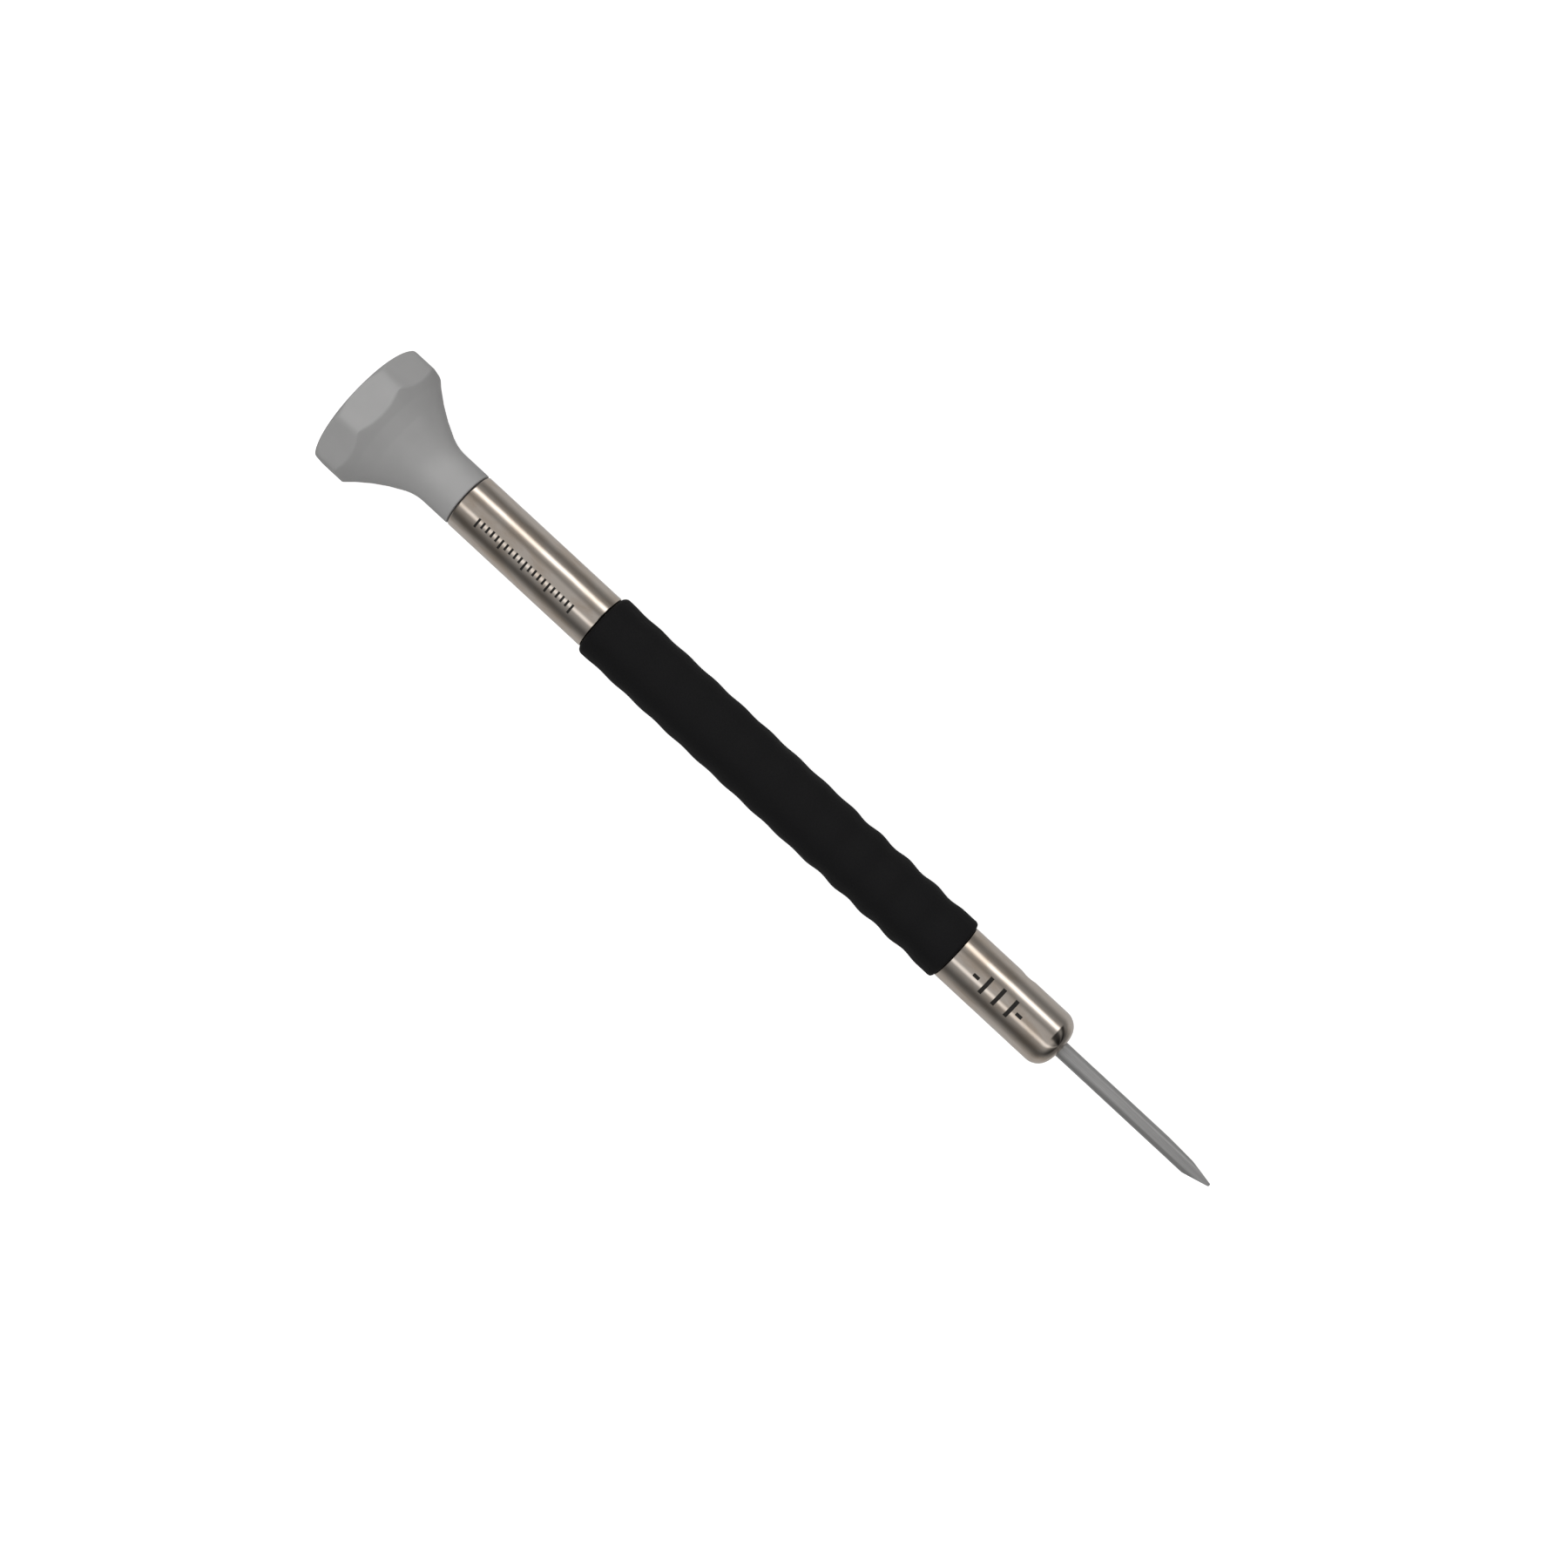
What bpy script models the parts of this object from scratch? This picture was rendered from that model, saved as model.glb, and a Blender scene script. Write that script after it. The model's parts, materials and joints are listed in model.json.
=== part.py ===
"""A watchmaker's screwdriver with a freely turning head, lying on the bench.

Nearly every piece is turned about the tool's own axis. An outline is a list of points
(station, radius) in millimetres, where the station is the distance from the head's end face.
The empty tool_axis carries all pieces. It lays the tool down: the head rests on one of its
eight flats and the nose touches the bench. The origin is under the middle of the tool.
"""

import math

import bmesh
import bpy
from mathutils import Vector

MM = 0.001

# Driving dimensions, in millimetres.
HEAD_FLATS = 11.4
HEAD_LENGTH = 11.2
RIM_HEIGHT = 2.45
BODY_DIAMETER = 5.0
BARREL_LENGTH = 14.5
GRIP_DIAMETER = 5.76
GRIP_LENGTH = 38.5
NOSE_LENGTH = 11.4
BLADE_DIAMETER = 1.40
BLADE_REACH = 16.0

# Miniature ball bearing in the head.
BEARING_BORE = 2.0
BEARING_OUTSIDE = 6.0
BEARING_WIDTH = 2.3
BALL_DIAMETER = 1.0
BALL_COUNT = 7
RACE_SHOULDER = 0.38
CAGE_WIDTH = 1.5
CAGE_WALL = 0.4

# Smaller shapes.
HEAD_SIDES = 8
RIM_CORNER = 0.985
RIM_ROUNDING = 0.7
NECK_STRAIGHT = 2.5
NECK_BLEND_RADIUS = 4.0
NECK_BLEND_DEG = 25.0
CAP_MARGIN = 1.5
CAP_SET_BACK = 0.2
CAP_THICKNESS = 0.9
CAP_DISH = 0.45
CAP_LAND = 0.8
CAP_SKIRT = 0.45
BEARING_STATION = 2.4
CLIP_THICKNESS = 0.25
CLIP_REACH = 0.75
CLIP_OPEN_DEG = 70.0
GROOVE_DEPTH = 0.26
PIN_NOSE = 0.45
PIN_CHAMFER = 0.1
PIN_SHOULDER = 0.3
BUSH_LENGTH = 3.4
BUSH_COVER = 0.625
WASHER_THICKNESS = 0.2
WASHER_MARGIN = 0.4
HEAD_JOINT_GAP = 0.12
PIN_IN_BARREL = 6.3
TAIL_LENGTH = 7.0
TAIL_COVER = 0.8
SPIGOT_COVER = 0.35
END_CHAMFER = 0.2
EDGE_CHAMFER = 0.12
GRIP_REAR_ROUNDING = 0.5
GRIP_ROUNDING = 0.3
RIB_COUNT = 4
RIB_PITCH = 3.0
RIB_DEPTH = 0.15
RIB_LAND = 1.6
NOSE_ROUNDING = 1.45
NOSE_LAND = 0.1
BLADE_HELD = 15.0
BORE_RELIEF = 0.08
WEDGE_LENGTH = 2.2
TIP_THICKNESS = 0.25
GROUND_LENGTH = 5.0
GROUND_DEPTH = 0.15
SCREW_DIAMETER = 1.6
SCREW_FROM_NOSE = 5.7
SCREW_SUNK = 0.2
SLOT_WIDTH = 0.3
SLOT_DEPTH = 0.4
SLOT_TURN_DEG = 25.0

# Clearances, each on a radius or along the axis.
RUNNING_CLEARANCE = 0.04
FIXED_GAP = 0.02
BORE_GAP = 0.01
RACE_CLEARANCE = 0.02
CAGE_CLEARANCE = 0.04
SKIRT_CLEARANCE = 0.03
STEM_CLEARANCE = 0.2
SCREW_CLEARANCE = 0.03

# Facets.
TURNED_SEGMENTS = 32
SMALL_SEGMENTS = 24
BALL_SEGMENTS = 12
BALL_RINGS = 8
ROUNDING_STEPS = 3
ARC_STEPS = 6
SHORT_ARC_STEPS = 4
CLIP_STEPS = 14
RIB_STEPS = 4

# How far a cutting shape goes beyond what it cuts, along the tool and across it.
OVERRUN = 1.0
OVERCUT = 0.1

# Sizes that follow from the ones above.
FLAT_RADIUS = HEAD_FLATS / 2
RIM_RADIUS = RIM_CORNER * FLAT_RADIUS / math.cos(math.pi / HEAD_SIDES)
BODY_RADIUS = BODY_DIAMETER / 2
GRIP_RADIUS = GRIP_DIAMETER / 2
BLADE_RADIUS = BLADE_DIAMETER / 2
BORE_RADIUS = BLADE_RADIUS + FIXED_GAP
BALL_RADIUS = BALL_DIAMETER / 2
SCREW_HOLE_RADIUS = SCREW_DIAMETER / 2
BALL_CIRCLE_RADIUS = (BEARING_BORE + BEARING_OUTSIDE) / 4
PIN_RADIUS = BEARING_BORE / 2
PIN_BODY_RADIUS = PIN_RADIUS + PIN_SHOULDER
POCKET_RADIUS = BEARING_OUTSIDE / 2 + FIXED_GAP
CAP_RADIUS = FLAT_RADIUS - CAP_MARGIN
WASHER_RADIUS = BODY_RADIUS - WASHER_MARGIN
BUSH_SEAT_RADIUS = BODY_RADIUS - BUSH_COVER
SPIGOT_RADIUS = BODY_RADIUS - SPIGOT_COVER
TAIL_RADIUS = BODY_RADIUS - TAIL_COVER

# Stations along the tool, from the head's end face.
CAP_BACK = CAP_SET_BACK + CAP_THICKNESS
BEARING_END = BEARING_STATION + BEARING_WIDTH
BALL_STATION = (BEARING_STATION + BEARING_END) / 2
CLIP_STATION = BEARING_STATION - FIXED_GAP - CLIP_THICKNESS
PIN_START = CLIP_STATION - PIN_NOSE
BUSH_STATION = HEAD_LENGTH - BUSH_LENGTH
WASHER_STATION = HEAD_LENGTH + RUNNING_CLEARANCE
WASHER_END = WASHER_STATION + WASHER_THICKNESS
BARREL_START = HEAD_LENGTH + HEAD_JOINT_GAP
BARREL_END = HEAD_LENGTH + BARREL_LENGTH
GRIP_END = BARREL_END + GRIP_LENGTH
NOSE_END = GRIP_END + NOSE_LENGTH
TIP = NOSE_END + BLADE_REACH
TAIL_START = BARREL_END - TAIL_LENGTH
BLADE_START = NOSE_END - BLADE_HELD
SCREW_STATION = NOSE_END - SCREW_FROM_NOSE

# The nose's rounding leaves a narrow land round the bore.
NOSE_CURVE = min(NOSE_ROUNDING, BODY_RADIUS - BORE_RADIUS - NOSE_LAND)


def clear_scene():
    for obj in list(bpy.data.objects):
        bpy.data.objects.remove(obj, do_unlink=True)


def material(name, colour, roughness, metallic=0.0):
    made = bpy.data.materials.new(name)
    made.use_nodes = True
    shader = made.node_tree.nodes["Principled BSDF"]
    shader.inputs["Base Color"].default_value = (*colour, 1.0)
    shader.inputs["Roughness"].default_value = roughness
    shader.inputs["Metallic"].default_value = metallic
    return made


def add_object(name, bm, parent, finish, origin):
    """Turns a bmesh in millimetres about the piece's own origin into an object carried by parent."""
    bmesh.ops.recalc_face_normals(bm, faces=bm.faces)
    bmesh.ops.scale(bm, vec=(MM, MM, MM), verts=bm.verts)
    mesh = bpy.data.meshes.new(name)
    bm.to_mesh(mesh)
    bm.free()
    mesh.shade_smooth()
    mesh.set_sharp_from_angle(angle=math.radians(35))
    if finish:
        mesh.materials.append(finish)
    obj = bpy.data.objects.new(name, mesh)
    bpy.context.scene.collection.objects.link(obj)
    obj.parent = parent
    obj.location = Vector(origin) * MM
    return obj


def arc(centre, radius, start_deg, end_deg, steps):
    """Points (station, radius) along an arc; the angle is measured from the +station direction."""
    angles = [math.radians(start_deg + (end_deg - start_deg) * i / steps) for i in range(steps + 1)]
    return [(centre[0] + radius * math.cos(a), centre[1] + radius * math.sin(a)) for a in angles]


def turned(name, outline, parent, finish, segments=TURNED_SEGMENTS):
    """Spins an outline about the tool's axis. One that meets the axis is left open there."""
    origin = min(station for station, _ in outline)
    solid = min(radius for _, radius in outline) == 0
    bm = bmesh.new()
    points = [bm.verts.new((station - origin, 0, radius)) for station, radius in outline]
    if not solid:
        points.append(points[0])
    edges = [bm.edges.new(pair) for pair in zip(points[:-1], points[1:])]
    bmesh.ops.spin(
        bm, geom=bm.verts[:] + edges, cent=(0, 0, 0), axis=(1, 0, 0), angle=2 * math.pi,
        steps=segments, use_merge=True,
    )
    bmesh.ops.remove_doubles(bm, verts=bm.verts, dist=1e-5)
    return add_object(name, bm, parent, finish, (origin, 0, 0))


def extruded(name, outline, depth, parent, finish, origin=(0, 0, 0)):
    """Extrudes an outline in the X-Y plane by depth, half to each side of Z = 0."""
    bm = bmesh.new()
    face = bm.faces.new([bm.verts.new((x, y, -depth / 2)) for x, y in outline])
    wall = bmesh.ops.extrude_face_region(bm, geom=[face])
    top = [item for item in wall["geom"] if isinstance(item, bmesh.types.BMVert)]
    bmesh.ops.translate(bm, vec=(0, 0, depth), verts=top)
    return add_object(name, bm, parent, finish, origin)


def rod(name, radius, length, parent, finish, segments, origin, rotation=(0, 0, 0)):
    """A cylinder that starts at its origin and runs along its own +Z."""
    bm = bmesh.new()
    bmesh.ops.create_cone(
        bm, cap_ends=True, segments=segments, radius1=radius, radius2=radius, depth=length
    )
    bmesh.ops.translate(bm, vec=(0, 0, length / 2), verts=bm.verts)
    obj = add_object(name, bm, parent, finish, origin)
    obj.rotation_euler = rotation
    return obj


def cut(piece, cutter, operation="DIFFERENCE"):
    modifier = piece.modifiers.new(cutter.name, "BOOLEAN")
    modifier.operation = operation
    modifier.solver = "EXACT"
    modifier.object = cutter
    cutter.hide_render = True
    cutter.display_type = "WIRE"


def flare_arc():
    """Centre and radius of the flare's wide arc: from the rim, to meet the neck's arc smoothly."""
    slope = math.radians(NECK_BLEND_DEG)
    join_station = HEAD_LENGTH - NECK_STRAIGHT - NECK_BLEND_RADIUS * math.sin(slope)
    join_radius = BODY_RADIUS + NECK_BLEND_RADIUS * (1 - math.cos(slope))
    along, out = RIM_HEIGHT - join_station, RIM_RADIUS - join_radius
    radius = (along**2 + out**2) / (2 * (along * math.sin(slope) + out * math.cos(slope)))
    return (join_station + radius * math.sin(slope), join_radius + radius * math.cos(slope)), radius


def flare_outline():
    """The head's trumpet shape, from the rim to the neck: a wide arc, then a short one."""
    centre, radius = flare_arc()
    rim_deg = math.degrees(math.atan2(RIM_RADIUS - centre[1], RIM_HEIGHT - centre[0])) % 360
    join_deg = 270 - NECK_BLEND_DEG
    neck_centre = (HEAD_LENGTH - NECK_STRAIGHT, BODY_RADIUS + NECK_BLEND_RADIUS)
    wide = arc(centre, radius, rim_deg, join_deg, ARC_STEPS)
    short = arc(neck_centre, NECK_BLEND_RADIUS, join_deg, 270, SHORT_ARC_STEPS)
    return wide + short[1:]


def head_shell(axis, plastic):
    """The octagonal head: a turned trumpet, cut to eight flats, so each flat ends in scallops."""
    rounding = arc((RIM_ROUNDING, RIM_RADIUS - RIM_ROUNDING), RIM_ROUNDING, 180, 90, ROUNDING_STEPS)
    neck_end = [(HEAD_LENGTH - EDGE_CHAMFER, BODY_RADIUS), (HEAD_LENGTH, BODY_RADIUS - EDGE_CHAMFER)]
    bush_seat = [(HEAD_LENGTH, BUSH_SEAT_RADIUS), (BUSH_STATION, BUSH_SEAT_RADIUS)]
    passage = PIN_BODY_RADIUS + STEM_CLEARANCE
    pocket_end = BEARING_END + FIXED_GAP
    pocket_start = CAP_BACK + FIXED_GAP
    pocket = [(BUSH_STATION, passage), (pocket_end, passage), (pocket_end, POCKET_RADIUS)]
    cap_seat_radius = CAP_RADIUS + FIXED_GAP
    cap_seat = [(pocket_start, POCKET_RADIUS), (pocket_start, cap_seat_radius), (0, cap_seat_radius)]
    outline = rounding + flare_outline() + neck_end + bush_seat + pocket + cap_seat
    head = turned("head_shell", outline, axis, plastic)
    corner = FLAT_RADIUS / math.cos(math.pi / HEAD_SIDES)
    near, far = -OVERRUN, HEAD_LENGTH + OVERRUN
    prism = [(near, 0), (near, corner), (far, corner), (far, 0)]
    flats = turned("head_flats", prism, axis, None, HEAD_SIDES)
    flats.rotation_euler = (math.pi / HEAD_SIDES, 0, 0)
    cut(head, flats, "INTERSECT")


def finger_cap(axis, plastic):
    """Closes the head's end: dished for the fingertip, with a skirt that holds the bearing."""
    rim = CAP_RADIUS - CAP_LAND
    dish_radius = (rim**2 + CAP_DISH**2) / (2 * CAP_DISH)
    dish_centre = CAP_SET_BACK + CAP_DISH - dish_radius
    half_deg = math.degrees(math.asin(rim / dish_radius))
    dish = arc((dish_centre, 0), dish_radius, 0, half_deg, SHORT_ARC_STEPS)
    dish[0] = (CAP_SET_BACK + CAP_DISH, 0)
    skirt = POCKET_RADIUS - SKIRT_CLEARANCE
    skirt_inside = skirt - CAP_SKIRT
    skirt_end = BEARING_STATION - FIXED_GAP
    edge = [(CAP_SET_BACK, CAP_RADIUS), (CAP_BACK, CAP_RADIUS), (CAP_BACK, skirt), (skirt_end, skirt)]
    inside = [(skirt_end, skirt_inside), (CAP_BACK, skirt_inside), (CAP_BACK, 0)]
    turned("finger_cap", dish + edge + inside, axis, plastic)


def race(inner):
    """The grooved side of a bearing ring, from its near face to its far face."""
    side = -1 if inner else 1
    groove = BALL_RADIUS + RACE_CLEARANCE
    half_deg = math.degrees(math.acos(RACE_SHOULDER / groove))
    centre = (BALL_STATION, BALL_CIRCLE_RADIUS)
    middle_deg = side * 90
    first_deg, last_deg = middle_deg + side * half_deg, middle_deg - side * half_deg
    points = arc(centre, groove, first_deg, last_deg, SHORT_ARC_STEPS)
    level = BALL_CIRCLE_RADIUS + side * RACE_SHOULDER
    return [(BEARING_STATION, level)] + points + [(BEARING_END, level)]


def bearing(axis, steel, brass):
    outside = BEARING_OUTSIDE / 2
    bore = PIN_RADIUS + BORE_GAP
    outer = race(False) + [(BEARING_END, outside), (BEARING_STATION, outside)]
    turned("bearing_outer_ring", outer, axis, steel)
    inner = race(True) + [(BEARING_END, bore), (BEARING_STATION, bore)]
    turned("bearing_inner_ring", inner, axis, steel)
    near, far = BALL_STATION - CAGE_WIDTH / 2, BALL_STATION + CAGE_WIDTH / 2
    low, high = BALL_CIRCLE_RADIUS - CAGE_WALL / 2, BALL_CIRCLE_RADIUS + CAGE_WALL / 2
    cage_outline = [(near, low), (near, high), (far, high), (far, low)]
    cage = turned("bearing_cage", cage_outline, axis, brass, 4 * BALL_COUNT)
    for index in range(BALL_COUNT):
        angle = 2 * math.pi * index / BALL_COUNT
        outwards = Vector((0, -math.sin(angle), math.cos(angle)))
        bm = bmesh.new()
        bmesh.ops.create_uvsphere(
            bm, u_segments=BALL_SEGMENTS, v_segments=BALL_RINGS, radius=BALL_RADIUS
        )
        centre = Vector((BALL_STATION, 0, 0)) + BALL_CIRCLE_RADIUS * outwards
        add_object(f"bearing_ball_{index + 1}", bm, axis, steel, centre)
        start = Vector((BALL_STATION, 0, 0)) + (BALL_CIRCLE_RADIUS - CAGE_WALL) * outwards
        pocket = rod(
            f"cage_pocket_{index + 1}", BALL_RADIUS + CAGE_CLEARANCE, 2 * CAGE_WALL,
            axis, None, BALL_SEGMENTS, start, (angle, 0, 0),
        )
        cut(cage, pocket)


def retaining_clip(axis, steel):
    """An open ring in the spindle's groove, which lies against the bearing's inner ring."""
    inside = PIN_RADIUS - GROOVE_DEPTH + FIXED_GAP
    half_open = CLIP_OPEN_DEG / 2
    outer = arc((0, 0), PIN_RADIUS + CLIP_REACH, half_open, 360 - half_open, CLIP_STEPS)
    inner = arc((0, 0), inside, 360 - half_open, half_open, CLIP_STEPS)
    centre = CLIP_STATION + CLIP_THICKNESS / 2
    clip = extruded("retaining_clip", outer + inner, CLIP_THICKNESS, axis, steel, (centre, 0, 0))
    clip.rotation_euler = (0, math.radians(90), 0)


def spindle(axis, steel):
    """The stepped pin: a groove for the clip, the bearing's seat, and a stouter stem."""
    groove = PIN_RADIUS - GROOVE_DEPTH
    groove_start = CLIP_STATION - FIXED_GAP
    stem_start = BEARING_END + FIXED_GAP
    stem_end = BARREL_START + PIN_IN_BARREL
    end_radius = PIN_RADIUS - PIN_CHAMFER
    nose = [(PIN_START, 0), (PIN_START, end_radius), (PIN_START + PIN_CHAMFER, PIN_RADIUS)]
    clip_groove = [(groove_start, PIN_RADIUS), (groove_start, groove), (BEARING_STATION, groove)]
    seat = [(BEARING_STATION, PIN_RADIUS), (stem_start, PIN_RADIUS), (stem_start, PIN_BODY_RADIUS)]
    foot_radius = PIN_BODY_RADIUS - END_CHAMFER
    foot = [(stem_end - END_CHAMFER, PIN_BODY_RADIUS), (stem_end, foot_radius), (stem_end, 0)]
    turned("spindle", nose + clip_groove + seat + foot, axis, steel)


def neck_bush(axis, brass):
    inside = PIN_BODY_RADIUS + RUNNING_CLEARANCE
    outside = BUSH_SEAT_RADIUS - FIXED_GAP
    near, far = BUSH_STATION + FIXED_GAP, HEAD_LENGTH - FIXED_GAP
    turned("neck_bush", [(near, inside), (near, outside), (far, outside), (far, inside)], axis, brass)


def thrust_washer(axis, plastic):
    inside = PIN_BODY_RADIUS + RUNNING_CLEARANCE
    near, far = WASHER_STATION, WASHER_END
    outline = [(near, inside), (near, WASHER_RADIUS), (far, WASHER_RADIUS), (far, inside)]
    turned("thrust_washer", outline, axis, plastic)


def rear_barrel(axis, nickel):
    """The plated tube between head and grip. The spindle and the holder's tail are fixed in it."""
    recess = WASHER_RADIUS + FIXED_GAP
    recess_end = WASHER_END + FIXED_GAP
    socket = PIN_BODY_RADIUS + FIXED_GAP
    tail_socket = TAIL_RADIUS + FIXED_GAP
    step = TAIL_START - FIXED_GAP
    outer = [
        (BARREL_START, BODY_RADIUS - EDGE_CHAMFER), (BARREL_START + EDGE_CHAMFER, BODY_RADIUS),
        (BARREL_END - EDGE_CHAMFER, BODY_RADIUS), (BARREL_END, BODY_RADIUS - EDGE_CHAMFER),
    ]
    bore = [
        (BARREL_END, tail_socket), (step, tail_socket), (step, socket), (recess_end, socket),
        (recess_end, recess), (BARREL_START, recess),
    ]
    turned("rear_barrel", outer + bore, axis, nickel)


def rib_outline():
    """Shallow finger grooves at the grip's front: one cosine wave for each."""
    first = GRIP_END - RIB_LAND - RIB_COUNT * RIB_PITCH
    steps = RIB_STEPS * RIB_COUNT
    points = []
    for index in range(steps + 1):
        depth = RIB_DEPTH * (1 - math.cos(2 * math.pi * index / RIB_STEPS)) / 2
        points.append((first + RIB_PITCH * index / RIB_STEPS, GRIP_RADIUS - depth))
    return points


def grip_sleeve(axis, rubber):
    near, far = BARREL_END + 2 * FIXED_GAP, GRIP_END - FIXED_GAP
    inside = SPIGOT_RADIUS + FIXED_GAP
    rear_centre = (near + GRIP_REAR_ROUNDING, GRIP_RADIUS - GRIP_REAR_ROUNDING)
    rear = arc(rear_centre, GRIP_REAR_ROUNDING, 180, 90, ROUNDING_STEPS)
    front_centre = (far - GRIP_ROUNDING, GRIP_RADIUS - GRIP_ROUNDING)
    front = arc(front_centre, GRIP_ROUNDING, 90, 0, ROUNDING_STEPS)
    outline = rear + rib_outline() + front + [(far, inside), (near, inside)]
    turned("grip_sleeve", outline, axis, rubber)


def blade_holder(axis, nickel):
    """The nose, with a long spigot under the grip and a tail that fits into the rear barrel."""
    bore_end = BLADE_START - BORE_RELIEF
    spigot_start = BARREL_END + FIXED_GAP
    end_radius = TAIL_RADIUS - END_CHAMFER
    tail = [(TAIL_START, 0), (TAIL_START, end_radius), (TAIL_START + END_CHAMFER, TAIL_RADIUS)]
    spigot = [(spigot_start, TAIL_RADIUS), (spigot_start, SPIGOT_RADIUS), (GRIP_END, SPIGOT_RADIUS)]
    shoulder = [(GRIP_END, BODY_RADIUS)]
    round_centre = (NOSE_END - NOSE_CURVE, BODY_RADIUS - NOSE_CURVE)
    nose = arc(round_centre, NOSE_CURVE, 90, 0, ARC_STEPS)
    bore = [(NOSE_END, BORE_RADIUS), (bore_end, BORE_RADIUS), (bore_end, 0)]
    holder = turned("blade_holder", tail + spigot + shoulder + nose + bore, axis, nickel)
    hole_start = BORE_RADIUS / 2
    hole = rod(
        "screw_hole", SCREW_HOLE_RADIUS, BODY_RADIUS, axis, None, SMALL_SEGMENTS,
        (SCREW_STATION, hole_start, 0), (math.radians(-90), 0, 0),
    )
    cut(holder, hole)


def clamp_screw(axis, steel):
    """Slotted grub screw across the nose. Its origin is on its own axis, where it meets the blade."""
    foot = BLADE_RADIUS + FIXED_GAP
    length = BODY_RADIUS - SCREW_SUNK - foot
    screw = rod(
        "clamp_screw", SCREW_HOLE_RADIUS - SCREW_CLEARANCE, length, axis, steel, SMALL_SEGMENTS,
        (SCREW_STATION, foot, 0), (math.radians(-90), 0, 0),
    )
    half, reach = SLOT_WIDTH / 2, SCREW_DIAMETER
    bar = [(-reach, -half), (reach, -half), (reach, half), (-reach, half)]
    slot = extruded("screw_slot", bar, 2 * SLOT_DEPTH, screw, None, (0, 0, length))
    slot.rotation_euler = (0, 0, math.radians(SLOT_TURN_DEG))
    cut(screw, slot)


def blade(axis, steel):
    """A round rod, ground to a wedge. The flat lightly ground on the +Y side starts further back."""
    body = [(BLADE_START, 0), (BLADE_START, BLADE_RADIUS), (TIP, BLADE_RADIUS), (TIP, 0)]
    made = turned("blade", body, axis, steel, SMALL_SEGMENTS)
    tip_half = TIP_THICKNESS / 2
    outside = BLADE_RADIUS + OVERCUT
    wedge_start = TIP - WEDGE_LENGTH * (outside - tip_half) / (BLADE_RADIUS - tip_half)
    ground_run = (GROUND_LENGTH - WEDGE_LENGTH) / GROUND_DEPTH
    ground_start = TIP - GROUND_LENGTH - ground_run * (outside - BLADE_RADIUS)
    outline = [
        (BLADE_START - OVERRUN, -outside), (wedge_start, -outside), (TIP, -tip_half),
        (TIP + OVERRUN, -tip_half), (TIP + OVERRUN, tip_half), (TIP, tip_half),
        (TIP - WEDGE_LENGTH, BLADE_RADIUS - GROUND_DEPTH), (ground_start, outside),
        (BLADE_START - OVERRUN, outside),
    ]
    cut(made, extruded("blade_grinding", outline, 4 * BLADE_RADIUS, axis, None), "INTERSECT")


def resting_tilt():
    """The slope of the axis when the head's lower flat and the nose or the grip touch the bench."""
    centre, radius = flare_arc()
    flat_end = centre[0] - math.sqrt(radius**2 - (centre[1] - FLAT_RADIUS) ** 2)
    touching = [
        (NOSE_END - NOSE_CURVE, BODY_RADIUS), (GRIP_END - FIXED_GAP - GRIP_ROUNDING, GRIP_RADIUS)
    ]
    return min(math.atan((FLAT_RADIUS - r) / (station - flat_end)) for station, r in touching)


def lay_on_bench(axis):
    """Tilts the tool and puts the origin under the middle of its bounding box, on the bench."""
    axis.rotation_euler = (0, resting_tilt(), 0)
    bpy.context.view_layer.update()
    graph = bpy.context.evaluated_depsgraph_get()
    points = []
    for obj in bpy.data.objects:
        if obj.type == "MESH" and not obj.hide_render:
            placed = obj.evaluated_get(graph)
            points += [placed.matrix_world @ vertex.co for vertex in placed.data.vertices]
    low = [min(point[i] for point in points) for i in range(3)]
    high = [max(point[i] for point in points) for i in range(3)]
    axis.location = (-(low[0] + high[0]) / 2, -(low[1] + high[1]) / 2, -low[2])


def main():
    clear_scene()
    axis = bpy.data.objects.new("tool_axis", None)
    bpy.context.scene.collection.objects.link(axis)
    grey = material("grey_plastic", (0.33, 0.33, 0.33), 0.5)
    black = material("black_rubber", (0.012, 0.012, 0.012), 0.65)
    nickel = material("nickel_plate", (0.62, 0.57, 0.53), 0.15, 1.0)
    tool_steel = material("blade_steel", (0.3, 0.3, 0.31), 0.4, 1.0)
    bright_steel = material("bearing_steel", (0.6, 0.6, 0.62), 0.2, 1.0)
    brass = material("bush_brass", (0.6, 0.42, 0.16), 0.3, 1.0)
    nylon = material("black_nylon", (0.02, 0.02, 0.02), 0.5)
    head_shell(axis, grey)
    finger_cap(axis, grey)
    bearing(axis, bright_steel, brass)
    retaining_clip(axis, bright_steel)
    spindle(axis, bright_steel)
    neck_bush(axis, brass)
    thrust_washer(axis, nylon)
    rear_barrel(axis, nickel)
    grip_sleeve(axis, black)
    blade_holder(axis, nickel)
    clamp_screw(axis, tool_steel)
    blade(axis, tool_steel)
    lay_on_bench(axis)


if __name__ == "__main__":
    main()
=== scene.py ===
"""A watchmaker's screwdriver: fine turned pieces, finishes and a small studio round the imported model.

Every piece is drawn in tool millimetres: X is the station along the tool from the head's end
face, Y is across and Z is up. An outline is a list of (station, radius) points and arcs, which
is spun about the tool's axis. The finished mesh is then laid on the bench where the model lies.
"""

import json
import math
from collections import namedtuple
from types import SimpleNamespace

import bmesh
import bpy
from mathutils import Matrix, Vector

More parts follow.
